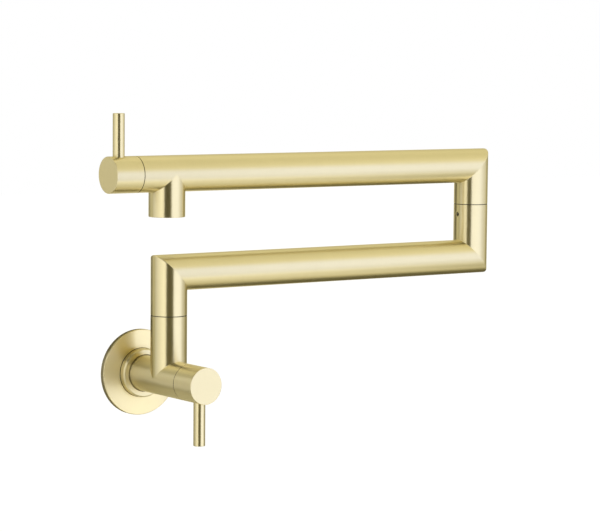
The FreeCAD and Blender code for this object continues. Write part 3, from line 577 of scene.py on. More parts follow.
def branch(name, node, body, barrel, reach, rounding, hollow, screw=None):
    """The branch of a valve body. Its axis starts on the bar's axis and angle 0 points to the tail.

    hollow starts with the (floor, end, radius) of its mouth and goes on with (height, radius) rings.
    """
    shell = Shell()
    saddle = settings().sizes.saddle / MM
    rows = saddle_rows(saddle)
    clear = TUBE_RADIUS + saddle + SADDLE_MARGIN

    def folded(shape, part):
        return lambda a: shape(atan2(abs(sin(a)), abs(cos(a))))[part]

    outer = [shell.ring(lambda a: pocket(a) * abs(cos(a)), pocket)]
    outer += [shell.ring(folded(s, 0), folded(s, 1)) for s in reversed(rows)]
    levels = spread(clear, reach - rounding, SHORT_STEP)
    inner_levels = spread(hollow[0][0], hollow[0][1], SHORT_STEP)
    if screw:
        levels, start = levels_with_window(levels, screw, PORT_HEIGHT, 2 * PORT_HALF)
        start += len(outer)
        inner_levels, inner_start = levels_with_window(inner_levels, screw, PORT_HEIGHT, 2 * PORT_HALF)
    outer += shell.rings(levels[:-1], TUBE_RADIUS)
    outer += rounded_end(shell, reach, -1, rounding)[::-1]
    inner = shell.rings(inner_levels, hollow[0][2])
    if screw:
        screw_port(shell, ((outer, start, TUBE_RADIUS), (inner, inner_start, hollow[0][2])), 0.0, screw)
    else:
        shell.belts(outer)
        shell.belts(inner)
    # the riser's top face at the swivel seam takes the dark gold, a painted shade; the spout's end stays plain
    # gold
    shell.belt(outer[-1], inner[-1], finish=1 if screw else 0)
    floor = [inner[0]] + shell.outline(hollow[1:])
    shell.belts(floor)
    shell.fan(floor[-1], floor[-1][0].co.z / MM)
    seat_under_branch(shell)
    shell.piece(node, barrel, body, materials=SEAM_SHADED, name=name)


def seat_under_branch(shell):
    """The underside of a branch, which fills the bar's seat."""
    quarter = shell.sides // 4
    columns = [2 * pi * i / shell.sides for i in range(-quarter, quarter + 1)]
    strips = [[shell.point(part * pocket(a) * max(cos(a), 0.0), pocket(a) * sin(a),
                           pocket(a) * max(cos(a), 0.0)) for a in columns]
              for part in ACROSS]
    for low, high in zip(strips, strips[1:]):
        for i in range(len(columns) - 1):
            shell.build.faces.new((low[i], low[i + 1], high[i + 1], high[i]))


# ---- finishes ----------------------------------------------------------------------------------------

class Signal:
    """One socket's value, with the arithmetic that adds Math nodes."""

    def __init__(self, wiring, socket):
        self.wiring, self.socket = wiring, socket

    def made(self, operation, first, second=None):
        inputs = {0: first} if second is None else {0: first, 1: second}
        return self.wiring.add("ShaderNodeMath", {"operation": operation}, inputs)

    def __add__(self, other):
        return self.made("ADD", self, other)

    def __radd__(self, other):
        return self.made("ADD", other, self)

    def __sub__(self, other):
        return self.made("SUBTRACT", self, other)

    def __rsub__(self, other):
        return self.made("SUBTRACT", other, self)

    def __mul__(self, other):
        return self.made("MULTIPLY", self, other)

    def __rmul__(self, other):
        return self.made("MULTIPLY", other, self)

    def __truediv__(self, other):
        return self.made("DIVIDE", self, other)

    def root(self):
        return self.made("SQRT", self)

    def between(self, low, high):
        """0 below low, 1 above high and smooth between."""
        return self.wiring.add("ShaderNodeMapRange", {"interpolation_type": "SMOOTHSTEP", "clamp": True},
                               {"Value": self, "From Min": low, "From Max": high})


class Wiring:
    """Adds nodes to a material's or the world's tree."""

    def __init__(self, tree):
        self.tree = tree
        tree.nodes.clear()

    def add(self, kind, choices=None, inputs=None, output=0):
        """A node of a type, its settings, then its sockets' values or links. Returns one output."""
        node = self.tree.nodes.new(kind)
        for name, value in (choices or {}).items():
            setattr(node, name, value)
        for name, value in (inputs or {}).items():
            if isinstance(value, Signal):
                self.tree.links.new(value.socket, node.inputs[name])
            else:
                node.inputs[name].default_value = value
        return None if output is None else Signal(self, node.outputs[output])

    def place(self):
        """x, y and z on the piece's own axis, in millimetres."""
        inside = self.add("ShaderNodeTexCoord", output="Object")
        return [self.add("ShaderNodeSeparateXYZ", inputs={0: inside}, output=i) / MM for i in range(3)]

    def vector(self, x, y, z):
        return self.add("ShaderNodeCombineXYZ", inputs={0: x, 1: y, 2: z})

    def noise(self, vector, scale, detail=2.0, roughness=0.5):
        return self.add("ShaderNodeTexNoise", None,
                        {"Vector": vector, "Scale": scale, "Detail": detail, "Roughness": roughness})

    def mixed(self, factor, first, second):
        """A colour between two colours."""
        return self.add("ShaderNodeMix", {"data_type": "RGBA", "clamp_result": True},
                        {0: factor, 6: first, 7: second}, 2)

    def bump(self, height, strength, distance):
        return self.add("ShaderNodeBump", None,
                        {"Strength": strength, "Distance": distance, "Height": height})

    def seen(self):
        """1 for what the camera, a reflection or a see-through ray meets, 0 for light on the room."""
        path = "ShaderNodeLightPath"
        return (self.add(path, output="Is Camera Ray") + self.add(path, output="Is Glossy Ray")
                + self.add(path, output="Is Transmission Ray"))

    def surface(self, inputs):
        shader = self.add("ShaderNodeBsdfPrincipled", None, inputs)
        self.add("ShaderNodeOutputMaterial", None, {"Surface": shader}, None)


def rgba(colour):
    return (*colour, 1.0)


def shaded(colour, part):
    return rgba([channel * part for channel in colour])


def new_finish(name):
    """Wiring for a material. The frame's plain material of that name is taken over."""
    material = bpy.data.materials.get(name) or bpy.data.materials.new(name)
    material.use_nodes = True
    return Wiring(material.node_tree)


def turned_lines(wiring, fineness):
    """Fine lines that run round the piece's axis, on its side and on its end faces alike.

    Returns them and the place on the piece.
    """
    changes_around, slant, never_zero = 1.8, 0.83, 0.001
    x, y, z = wiring.place()
    radius = (x * x + y * y).root() + never_zero
    along = (radius + z * slant) * fineness
    lines = wiring.vector(x / radius * changes_around, y / radius * changes_around, along)
    return wiring.noise(lines, 1.0, 3.0, 0.65), wiring.vector(x, y, z)


def brushed_gold(name, gold, roughness, anisotropy, brush):
    """Satin pale gold with brush lines round each piece and faint cloudiness.

    brush is how deep the lines look and anisotropy how far they stretch the highlights.
    """
    wiring = new_finish(name)
    lines, place = turned_lines(wiring, 3.1)
    clouds = wiring.noise(place, 0.045, 3.0, 0.55)
    smudges = wiring.noise(place, 0.16, 2.0, 0.5)
    colour = wiring.mixed(clouds.between(0.3, 0.7), shaded(gold, 0.985), rgba(gold))
    colour = wiring.mixed(lines.between(0.25, 0.75) * 0.10, colour, shaded(gold, 0.80))
    wiring.surface({
        "Base Color": colour,
        "Metallic": 1.0,
        "Roughness": (lines - 0.5) * 0.05 + (smudges - 0.5) * 0.035 + roughness,
        "Anisotropic": anisotropy,
        "Anisotropic Rotation": 0.25,
        "Normal": wiring.bump(lines, brush, 0.02 * MM),
    })


def machined_brass(name):
    """Unplated brass with turning lines and stains."""
    wiring = new_finish(name)
    finish = settings().finish
    lines, place = turned_lines(wiring, 2.2)
    stain = wiring.noise(place, 0.25, 4.0, 0.6)
    bright, dull = rgba(finish.raw_brass), shaded(finish.raw_brass, 0.72)
    wiring.surface({
        "Base Color": wiring.mixed(stain.between(0.35, 0.7), bright, dull),
        "Metallic": 1.0,
        "Roughness": stain * 0.16 + lines * 0.08 + 0.20,
        "Normal": wiring.bump(lines, 0.35, 0.02 * MM),
    })


def bright_steel(name):
    """Stainless steel with turning lines and dull spots."""
    wiring = new_finish(name)
    lines, place = turned_lines(wiring, 3.4)
    spots = wiring.noise(place, 0.6, 3.0, 0.6)
    bright, dull = (0.60, 0.60, 0.585, 1), (0.50, 0.495, 0.48, 1)
    wiring.surface({
        "Base Color": wiring.mixed(spots.between(0.4, 0.8), bright, dull),
        "Metallic": 1.0,
        "Roughness": lines * 0.10 + 0.18,
        "Normal": wiring.bump(lines, 0.25, 0.02 * MM),
    })


def matt_finish(name, light, dark, grain, roughness, relief, coat=0.0):
    """A moulded, lapped or pressed material with a fine grain."""
    wiring = new_finish(name)
    place = wiring.vector(*wiring.place())
    fine = wiring.noise(place, grain, 4.0, 0.65)
    broad = wiring.noise(place, grain * 0.12, 2.0, 0.5)
    wiring.surface({
        "Base Color": wiring.mixed(fine * 0.6 + broad * 0.4, rgba(dark), rgba(light)),
        "Roughness": (broad - 0.5) * 0.12 + roughness,
        "Coat Weight": coat,
        "Normal": wiring.bump(fine, relief, 0.05 * MM),
    })


# ---- property groups ---------------------------------------------------------------------------------

def length(name, description, default):
    return FloatProperty(name=name, description=description, default=default * MM, min=0.0,
                         subtype="DISTANCE", unit="LENGTH")


def factor(name, description, default, highest=1.0):
    return FloatProperty(name=name, description=description, default=default, min=0.0, max=highest,
                         subtype="FACTOR")


def colour(name, description, default):
    return FloatVectorProperty(name=name, description=description, default=default, size=3, min=0.0,
                               max=1.0, subtype="COLOR")


class PotFillerSizes(bpy.types.PropertyGroup):
    """Roundings that the eye sees on edges and corners."""
    outer_mitre: length("Outer mitre", "Rounding on the outside of the arms' corners", 0.9)
    inner_mitre: length("Inner mitre", "Rounding on the inside of the arms' corners", 0.5)
    saddle: length("Saddle", "Rounding where a branch meets its valve body", 0.45)
    seam_edge: length("Seam edge", "Rounding on edges beside the seams", 0.08)
    face_edge: length("Face edge", "Rounding on end faces of handles, levers and the spout", 0.3)
    plate_edge: length("Plate edge", "Rounding on the rim of the cover plate", 0.6)
    hole_rim: length("Hole rim", "Rounding on the rims of drilled holes", 0.18)


class PotFillerFinish(bpy.types.PropertyGroup):
    """Colours and gloss of the metals."""
    gold: colour("Gold", "Colour of the brushed gold", (0.88, 0.78, 0.46))
    plate_gold: colour("Plate gold", "Colour of the cover plate's turned face", (0.96, 0.84, 0.47))
    # gap gold is painted shade: a dark copy of the gold for faces in seams, grooves and recesses
    gap_gold: colour("Gap gold", "Colour of the gold inside narrow grooves", (0.17, 0.11, 0.03))
    raw_brass: colour("Raw brass", "Colour of the unplated brass inside", (0.78, 0.58, 0.27))
    gloss: factor("Roughness", "Roughness of the brushed gold", 0.34)
    grain: factor("Brushing", "How far the brushing stretches the highlights", 0.9)
    face_gloss: factor("Face roughness", "Roughness of the handles' end faces", 0.42)
    turned_gloss: factor("Plate roughness", "Roughness of the cover plate's turned face", 0.33)
    turned_grain: factor("Plate brushing", "How far its turning lines stretch the highlights", 0.96)


class PotFillerStage(bpy.types.PropertyGroup):
    """Light round the object, as levels where 1 shows white as white."""
    floor_drop: length("Floor", "Floor below the wall valve's axis", 300.0)
    lens: FloatProperty(name="Lens", description="Focal length on a 36 mm wide sensor", default=142.482,
                        unit="CAMERA")
    left_level: factor("Left card", "Level of the card on the left", 1.38, 4.0)
    front_level: factor("Front card", "Level of the light in front on the right", 1.13, 4.0)
    back_level: factor("Back card", "Level of the card behind on the left", 0.66, 4.0)
    room_level: factor("Room", "Level of the dark room in front", 0.065, 4.0)
    behind_level: factor("Behind", "Level behind and above the object", 0.54, 4.0)
    below_level: factor("Below", "Level behind and below the object", 0.13, 4.0)


class PotFillerSettings(bpy.types.PropertyGroup):
    """Everything a user would change."""
    sizes: PointerProperty(type=PotFillerSizes, name="Sizes", description="Roundings")
    finish: PointerProperty(type=PotFillerFinish, name="Finish", description="Metals")
    stage: PointerProperty(type=PotFillerStage, name="Stage", description="Light and camera")


# ---- operators ---------------------------------------------------------------------------------------

class POTFILLER_OT_finishes(bpy.types.Operator):
    """Make every finish and give each CAD node the one its material slot names"""
    bl_idname = "pot_filler.finishes"
    bl_label = "Finishes"

    def execute(self, context):
        finish = settings().finish
        brushed_gold("brushed_gold", finish.gold, finish.gloss, finish.grain, brush=0.16)
        brushed_gold("satin_gold", finish.gold, finish.face_gloss, anisotropy=0.0, brush=0.15)
        brushed_gold("turned_gold", finish.plate_gold, finish.turned_gloss, finish.turned_grain,
                     brush=0.22)
        # a dark copy of the gold that paints shade in seams, grooves and recesses
        brushed_gold("gap_gold", finish.gap_gold, roughness=0.5, anisotropy=0.0, brush=0.15)
        machined_brass("raw_brass")
        bright_steel("stainless")
        matt_finish("rubber", (0.030, 0.030, 0.031), (0.014, 0.014, 0.014),
                    grain=5.0, roughness=0.62, relief=0.5)
        matt_finish("ceramic", (0.90, 0.89, 0.86), (0.84, 0.83, 0.79),
                    grain=3.0, roughness=0.22, relief=0.08, coat=0.4)
        matt_finish("dark_plastic", (0.055, 0.050, 0.044), (0.030, 0.027, 0.024),
                    grain=3.5, roughness=0.42, relief=0.3)
        matt_finish("white_plastic", (0.83, 0.83, 0.81), (0.77, 0.77, 0.745),
                    grain=2.5, roughness=0.38, relief=0.2)
        matt_finish("fibre", (0.56, 0.24, 0.15), (0.36, 0.13, 0.08),
                    grain=4.0, roughness=0.8, relief=0.7)
        slots = {row["node"]: row["material_slot"] for row in frame["record"]["subparts"]}
        for name, node in frame["nodes"].items():
            node.data.materials.clear()
            node.data.materials.append(bpy.data.materials[slots[name]])
        return {"FINISHED"}


class POTFILLER_OT_cover_plate(bpy.types.Operator):
    """Build the cover plate on the wall and the collar on it"""
    bl_idname = "pot_filler.cover_plate"
    bl_label = "Cover plate and collar"

    def execute(self, context):
        sizes = settings().sizes
        low, high = node_box("wall_flange")
        rim, face = high.x, -low.y
        edge = sizes.plate_edge / MM
        bore, seat, seat_depth, cone = TUBE_RADIUS + 0.25, 26.3, 2.0, 0.5
        side = node_box("flange_collar")[1].x
        painted_shade_groove, under = 0.32, side - 0.1
        shell = Shell(WIDE_SIDES)
        # the shallow groove round the collar's foot takes the second material, the dark gold, as painted shade
        shell.turn(softened([
            (seat_depth, bore, 0), (seat_depth, seat, 0), (0, seat, 0.15), (0, rim, 0.2),
            (face - cone, rim, edge), (face, side + painted_shade_groove, 0.04), (face - painted_shade_groove, side + painted_shade_groove, 0),
            (face - painted_shade_groove, under, 0), (face, under, 0), (face, bore, 0.15)]),
            lambda low, high: under <= min(low[1], high[1]) and max(low[1], high[1]) <= side + painted_shade_groove)
        barrel = Barrel((0, 0, 0), OUT_OF_WALL, DOWN)
        shell.piece("wall_flange", barrel, "wall_body", materials=["turned_gold", "gap_gold"])
        self.collar(barrel, face, side)
        return {"FINISHED"}

    def collar(self, barrel, back, side):
        """The raised ring: a groove at its foot, a small step inside its mouth, a screw hole below."""
        front = -node_box("flange_collar")[0].y
        bore = TUBE_RADIUS + 0.15
        chamfer, mouth, mouth_depth = 0.85, 0.4, 1.0
        groove, groove_depth, port_height = 0.35, 1.0, 1.75
        shell = Shell(WIDE_SIDES)
        edge = softened([
            (back, bore, 0), (back, side - groove_depth, 0), (back + groove, side - groove_depth, 0),
            (back + groove, side, 0.08), (front - chamfer, side, 0.25),
            (front, side - chamfer, 0.25), (front, bore + mouth, 0.12),
            (front - mouth_depth, bore + mouth, 0.1), (front - mouth_depth, bore, 0)])
        plain_corners, arc = 3, ARC_STEPS + 1
        foot, head = edge[:plain_corners + arc], edge[plain_corners + arc:]
        skins = []
        for radius, levels in ((side, [foot[-1][0], head[0][0]]), (bore, [foot[0][0], head[-1][0]])):
            levels, first = levels_with_window(levels, COLLAR_SCREW, port_height, 2 * PORT_HALF)
            skins.append((shell.rings(levels, radius), first, radius))
        screw_port(shell, skins, 0.0, COLLAR_SCREW)
        foot, head = shell.outline(foot), shell.outline(head)
        # the groove at the collar's foot takes the dark gold, a painted shade
        shell.belts(foot[:plain_corners + 1], finish=1)
        shell.belts(foot[plain_corners:])
        shell.belts(head[:-arc - 1])
        # the small step inside the collar's mouth takes the dark gold too, a painted shade
        shell.belts(head[-arc - 2:], finish=1)
        shell.piece("flange_collar", barrel, "wall_body", materials=SEAM_SHADED)


class POTFILLER_OT_inlet(bpy.types.Operator):
    """Build the threaded inlet nipple"""
    bl_idname = "pot_filler.inlet"
    bl_label = "Inlet nipple"

    def execute(self, context):
        low, high = node_box("inlet_nipple")
        crest, reach, grip = high.x, high.y, -low.y
        floor = crest - THREAD_DEPTH - 0.2
        neck, neck_foot = 1.5, crest - 1.0
        start, run_in, rows_in_pitch = 0.3, 0.5, 10

        def thread(level):
            def radius(angle):
                phase = level / THREAD_PITCH - angle / (2 * pi)
                wave = crest - THREAD_DEPTH * (0.5 - 0.5 * cos(2 * pi * phase))
                lead = floor + min(level + run_in, reach - level)
                return min(wave, max(lead, floor))
            return radius

        shell = Shell()
        levels = spread(start, reach, THREAD_PITCH / rows_in_pitch)
        rings = [shell.ring(v, thread(v)) for v in levels]
        rings += shell.rings(spread(reach, -grip), WATERWAY)
        rings += shell.outline(softened([
            (-grip, crest, 0.3), (-neck, crest, 0.2), (-neck, neck_foot, 0), (start, neck_foot, 0)]))
        shell.belts(rings + [rings[0]])
        shell.piece("inlet_nipple", Barrel((0, 0, 0), INTO_WALL, UP), "wall_body", "raw_brass")
        return {"FINISHED"}


class POTFILLER_OT_valve_bodies(bpy.types.Operator):
    """Build the two valve bodies, each a bar and its branch"""
    bl_idname = "pot_filler.valve_bodies"
    bl_label = "Valve bodies"

    def execute(self, context):
        self.wall_valve()
        self.spout_valve()
        return {"FINISHED"}

    def hollow(self, nose, rest):
        """Rings of the cartridge's cavity behind the nose, then the rest of a bar's inside."""
        (wide, wide_end), (narrow, narrow_end) = CAVITY
        start = -nose - HALF_HANDLE_GAP
        return [(-nose, wide), (start + wide_end, wide), (start + wide_end, narrow),
                (start + narrow_end, narrow), (start + narrow_end, WATERWAY)] + rest

    def wall_valve(self):
        """The bar that the nipple screws into, and the riser with the lower swivel's socket."""
        box = node_box("wall_valve_body")
        centre = Vector((0, RISER_SEAM.y, 0))
        nose, tail = centre.y - box[0].y, box[1].y - centre.y
        thread = node_box("inlet_nipple")[1].x + 0.05
        seat = tail - THREAD_SEAT
        bar("wall_valve_bar", "wall_valve_body", "wall_body",
            Barrel(centre, INTO_WALL, UP), nose, tail, [],
            self.hollow(nose, [(seat, WATERWAY), (seat, thread), (tail, thread)]))
        top = RISER_SEAM.z - HALF_SWIVEL_GAP
        branch("wall_valve_riser", "wall_valve_body", "wall_body",
               Barrel(centre, UP, INTO_WALL), top, settings().sizes.seam_edge / MM,
               [(RISER_SEAM.z - SOCKET_DEPTH, top, SOCKET_RADIUS)], RISER_SEAM.z - SCREW_DROP)

    def spout_valve(self):
        """The bar at the upper arm's end, and the spout with its mouth."""
        centre = Vector((SPOUT_X, SPOUT_SEAM.y, SPOUT_SEAM.z))
        nose, tail = centre.x - SPOUT_BOX[0].x, SPOUT_BOX[1].x - centre.x - SPIGOT
        end = tail + SPIGOT
        bar("spout_valve_bar", "spout_valve_body", "upper_arm",
            Barrel(centre, RIGHT, DOWN), nose, tail, [(tail, BRAZE_RADIUS), (end, BRAZE_RADIUS)],
            self.hollow(nose, [(end, WATERWAY)]))
        drop = centre.z - MOUTH_LEVEL
        floor, blind_end = drop - MOUTH_DEPTH, TUBE_RADIUS + 1.2
        branch("spout", "spout_valve_body", "upper_arm",
               Barrel(centre, DOWN, RIGHT), drop, settings().sizes.face_edge / MM,
               [(floor, drop, MOUTH_RADIUS), (floor, WATERWAY), (blind_end, WATERWAY)])


class POTFILLER_OT_arms(bpy.types.Operator):
    """Build the five tubes of the two arms"""
    bl_idname = "pot_filler.arms"
    bl_label = "Arms"

    def execute(self, context):
        seam = settings().sizes.seam_edge / MM
        reach = POST_SEAM.x - RISER_SEAM.x
        riser_top = RISER_SEAM.z + HALF_SWIVEL_GAP
        arm_tube("lower_arm_stub", "lower_arm",
                 RISER_AXIS + UP * riser_top, UP, LEFT, LOWER_LEVEL - riser_top, plain(seam), mitred(1))
        arm_tube("lower_arm_tube", "lower_arm",
                 RISER_AXIS + UP * LOWER_LEVEL, RIGHT, UP, reach, mitred(1), mitred(-1))
        post_top = POST_SEAM.z - HALF_SWIVEL_GAP - LOWER_LEVEL
        arm_tube("lower_arm_post", "lower_arm",
                 POST_AXIS + UP * LOWER_LEVEL, UP, RIGHT, post_top, mitred(1), plain(seam),
                 (pi, POST_SEAM.z - SCREW_DROP - LOWER_LEVEL))
        stub_foot = POST_SEAM.z + HALF_SWIVEL_GAP
        arm_tube("upper_arm_stub", "upper_arm",
                 POST_AXIS + UP * stub_foot, UP, RIGHT, UPPER_LEVEL - stub_foot, plain(seam), mitred(1))
        arm_tube("upper_arm_tube", "upper_arm",
                 POST_AXIS + UP * UPPER_LEVEL, LEFT, UP, POST_SEAM.x - UPPER_TUBE[0].x,
                 mitred(1), plain())
        return {"FINISHED"}


class POTFILLER_OT_handles(bpy.types.Operator):
    """Build the two handles and their lever pins"""
    bl_idname = "pot_filler.handles"
    bl_label = "Handles and levers"

    def execute(self, context):
        for name, seam, outward, lever_way in (("wall", WALL_SEAM, OUT_OF_WALL, DOWN),
                                               ("spout", SPOUT_SEAM, LEFT, UP)):
            self.hub(name, Barrel(seam, outward, lever_way))
            self.lever(name, Barrel(seam + outward * LEVER_LEVEL, lever_way, outward))
        return {"FINISHED"}

    def hub(self, name, barrel):
        """The round knob: its lever's hole, its satin face and the recess at its back."""
        sizes = settings().sizes
        seam, edge, rim = sizes.seam_edge / MM, sizes.face_edge / MM, sizes.hole_rim / MM
        half, half_height, row_step = 8, 6.4, 3
        stud_hole = STUD_RADIUS + 0.05
        shell = Shell()
        levels, first = levels_with_window(
            spread(HALF_HANDLE_GAP + seam, HANDLE_LENGTH - edge, row_step), LEVER_LEVEL, half_height,
            2 * half)
        back = rounded_end(shell, HALF_HANDLE_GAP, 1, seam)
        front = rounded_end(shell, HANDLE_LENGTH, -1, edge)
        rings = back + shell.rings(levels[1:-1], TUBE_RADIUS) + front[::-1]
        window = window_at(shell, 0.0, half, first - 1 + len(back), 2 * half)
        spot = Spot(0.0, LEVER_LEVEL, TUBE_RADIUS)
        shell.belts(rings, window)
        foot = shell.drill(window_edge(shell, rings, window, spot), spot, LEVER_HOLE, rim)
        shell.bore_down(foot, [(LEVER_HOLE, LEVER_SEAT), (stud_hole, LEVER_SEAT),
                               (stud_hole, STUD_FOOT)])
        face = [front[0]] + [shell.ring(HANDLE_LENGTH, TUBE_RADIUS * part) for part in (0.75, 0.5, 0.25)]
        shell.belts(face, finish=1)
        shell.fan(face[-1], HANDLE_LENGTH, finish=1)
        (recess, recess_floor), (bore, bore_end) = HANDLE_RECESS, HANDLE_BORE
        inside = [back[0]] + shell.outline([(HALF_HANDLE_GAP, recess), (recess_floor, recess),
                                            (recess_floor, bore), (bore_end, bore)])
        # the back face at the handle seam takes the dark gold, a painted shade
        shell.belts(inside[:2], finish=2)
        shell.belts(inside[1:])
        shell.fan(inside[-1], bore_end)
        shell.piece(f"{name}_handle_hub", barrel, f"{name}_handle",
                    materials=["brushed_gold", "satin_gold", "gap_gold"])

    def lever(self, name, barrel):
        """The lever pin with the stud at its foot, its end face satin."""
        edge = settings().sizes.face_edge / MM
        points = softened([
            (STUD_FOOT, 0, 0), (STUD_FOOT, STUD_RADIUS, 0.3), (LEVER_SEAT, STUD_RADIUS, 0),
            (LEVER_SEAT, LEVER_RADIUS, 0.1), (LEVER_REACH, LEVER_RADIUS, edge), (LEVER_REACH, 0, 0)])
        shell = Shell(PIN_SIDES)
        shell.turn(points, lambda low, high: low[0] == high[0] == LEVER_REACH)
        shell.piece(f"{name}_lever", barrel, f"{name}_handle", materials=["brushed_gold", "satin_gold"])


class POTFILLER_OT_set_screws(bpy.types.Operator):
    """Build the set screws with their hexagon sockets"""
    bl_idname = "pot_filler.set_screws"
    bl_label = "Set screws"

    def execute(self, context):
        swivel = (7.05, SOCKET_RADIUS + 0.3, SCREW_HEAD)
        collar = (TUBE_RADIUS, TUBE_RADIUS + 0.45, node_box("flange_collar")[1].x - 0.6)
        self.screw("riser_set_screw", "wall_body", RISER_AXIS + UP * (RISER_SEAM.z - SCREW_DROP),
                   INTO_WALL, UP, swivel)
        self.screw("post_set_screw", "lower_arm", POST_AXIS + UP * (POST_SEAM.z - SCREW_DROP),
                   LEFT, UP, swivel)
        self.screw("flange_set_screw", "wall_body", OUT_OF_WALL * COLLAR_SCREW,
                   DOWN, OUT_OF_WALL, collar)
        return {"FINISHED"}

    def screw(self, node, body, origin, axis, zero, levels):
        """A headless screw. levels are how far its tip, its shoulder and its head are from the axis."""
        tip, shoulder, head = levels
        dog, key, key_depth, key_point, lip, bevel = 1.0, 0.75, 1.5, 0.2, 0.25, 0.08
        shell = Shell(SCREW_SIDES)

        def hexagon(angle):
            return key / cos((angle + pi / 6) % (pi / 3) - pi / 6)

        rings = shell.outline(softened([
            (tip, dog, 0.1), (shoulder, dog, 0), (shoulder, SCREW_RADIUS, 0.1),
            (head, SCREW_RADIUS, lip)]))
        rings += [shell.ring(head, lambda a: hexagon(a) + bevel), shell.ring(head - bevel, hexagon),
                  shell.ring(head - key_depth, hexagon)]
        shell.belts(rings)
        shell.fan(rings[0], tip)
        shell.fan(rings[-1], head - key_depth - key_point)
        shell.piece(node, Barrel(origin, axis, zero), body, "stainless")


class POTFILLER_OT_aerator(bpy.types.Operator):
    """Build the aerator in the spout's mouth"""
    bl_idname = "pot_filler.aerator"
    bl_label = "Aerator"

    def execute(self, context):
        barrel = Barrel((SPOUT_X, RISER_SEAM.y, MOUTH_LEVEL), UP, RIGHT)
        self.housing(barrel)
        self.insert(barrel)
        return {"FINISHED"}

    def housing(self, barrel):
        """The threaded ring with four notches for its key."""
        outer, wall, low, high, notch, depth, lip = 10.3, 1.4, 0.6, 10.0, 1.5, 1.2, 0.15
        inner = outer - wall
        half = asin(notch / (outer - wall / 2))
        sliver, steps = 0.004, 16
        angles = []
        for quarter in range(4):
            middle = quarter * pi / 2
            angles += [middle + part * half for part in ACROSS]
            angles += [middle + half + sliver + (pi / 2 - 2 * half - 2 * sliver) * i / steps
                       for i in range(steps + 1)]

        def foot(angle):
            off = abs((angle + pi / 4) % (pi / 2) - pi / 4)
            return low + (depth if off < half + sliver / 2 else 0)

        shell = Shell(angles=angles)
        rings = [shell.ring(foot, inner + lip), shell.ring(foot, outer - lip),
                 shell.ring(lambda a: foot(a) + lip, outer), shell.ring(low + depth + 2 * lip, outer),
                 shell.ring(high, outer), shell.ring(high, inner),
                 shell.ring(low + depth + 2 * lip, inner), shell.ring(lambda a: foot(a) + lip, inner)]
        shell.belts(rings + [rings[0]])
        shell.piece("aerator_housing", barrel, "upper_arm", "raw_brass")

    def insert(self, barrel):
        """The plate with its centre hole and two rows of holes, rims bevelled."""
        low, height, radius, hole, bevel = 1.4, 7.0, 8.85, 0.9, 0.15
        rows = ((0, 1), (3.4, 6), (6.5, 12))
        outline = bpy.data.curves.new("aerator_insert_outline", "CURVE")
        outline.dimensions = "2D"
        outline.fill_mode = "BOTH"
        outline.extrude = (height / 2 - bevel) * MM
        outline.bevel_depth = bevel * MM
        outline.bevel_resolution = 1

        def circle(x, y, radius, count):
            spline = outline.splines.new("POLY")
            spline.points.add(count - 1)
            for i, point in enumerate(spline.points):
                turn = 2 * pi * i / count
                point.co = ((x + radius * cos(turn)) * MM, (y + radius * sin(turn)) * MM, 0, 1)
            spline.use_cyclic_u = True

        circle(0, 0, radius - bevel, SIDES)
        for row, count in rows:
            for i in range(count):
                turn = 2 * pi * i / count
                circle(row * cos(turn), row * sin(turn), hole + bevel, HOLE_SIDES)
        drawn = bpy.data.objects.new("aerator_insert_outline", outline)
        bpy.context.scene.collection.objects.link(drawn)
        depsgraph = bpy.context.evaluated_depsgraph_get()
        solid = bpy.data.meshes.new_from_object(drawn.evaluated_get(depsgraph))
        bpy.data.objects.remove(drawn)
        bpy.data.curves.remove(outline)
        shell = Shell()
        shell.build.from_mesh(solid)
        bpy.data.meshes.remove(solid)
        bmesh.ops.translate(shell.build, verts=shell.build.verts, vec=(0, 0, (low + height / 2) * MM))
        shell.piece("aerator_insert", barrel, "upper_arm", "white_plastic")


# Where a point of a card lies from the middle: how far back, its bearings and how high or low.
Way = namedtuple("Way", "back right left height below")


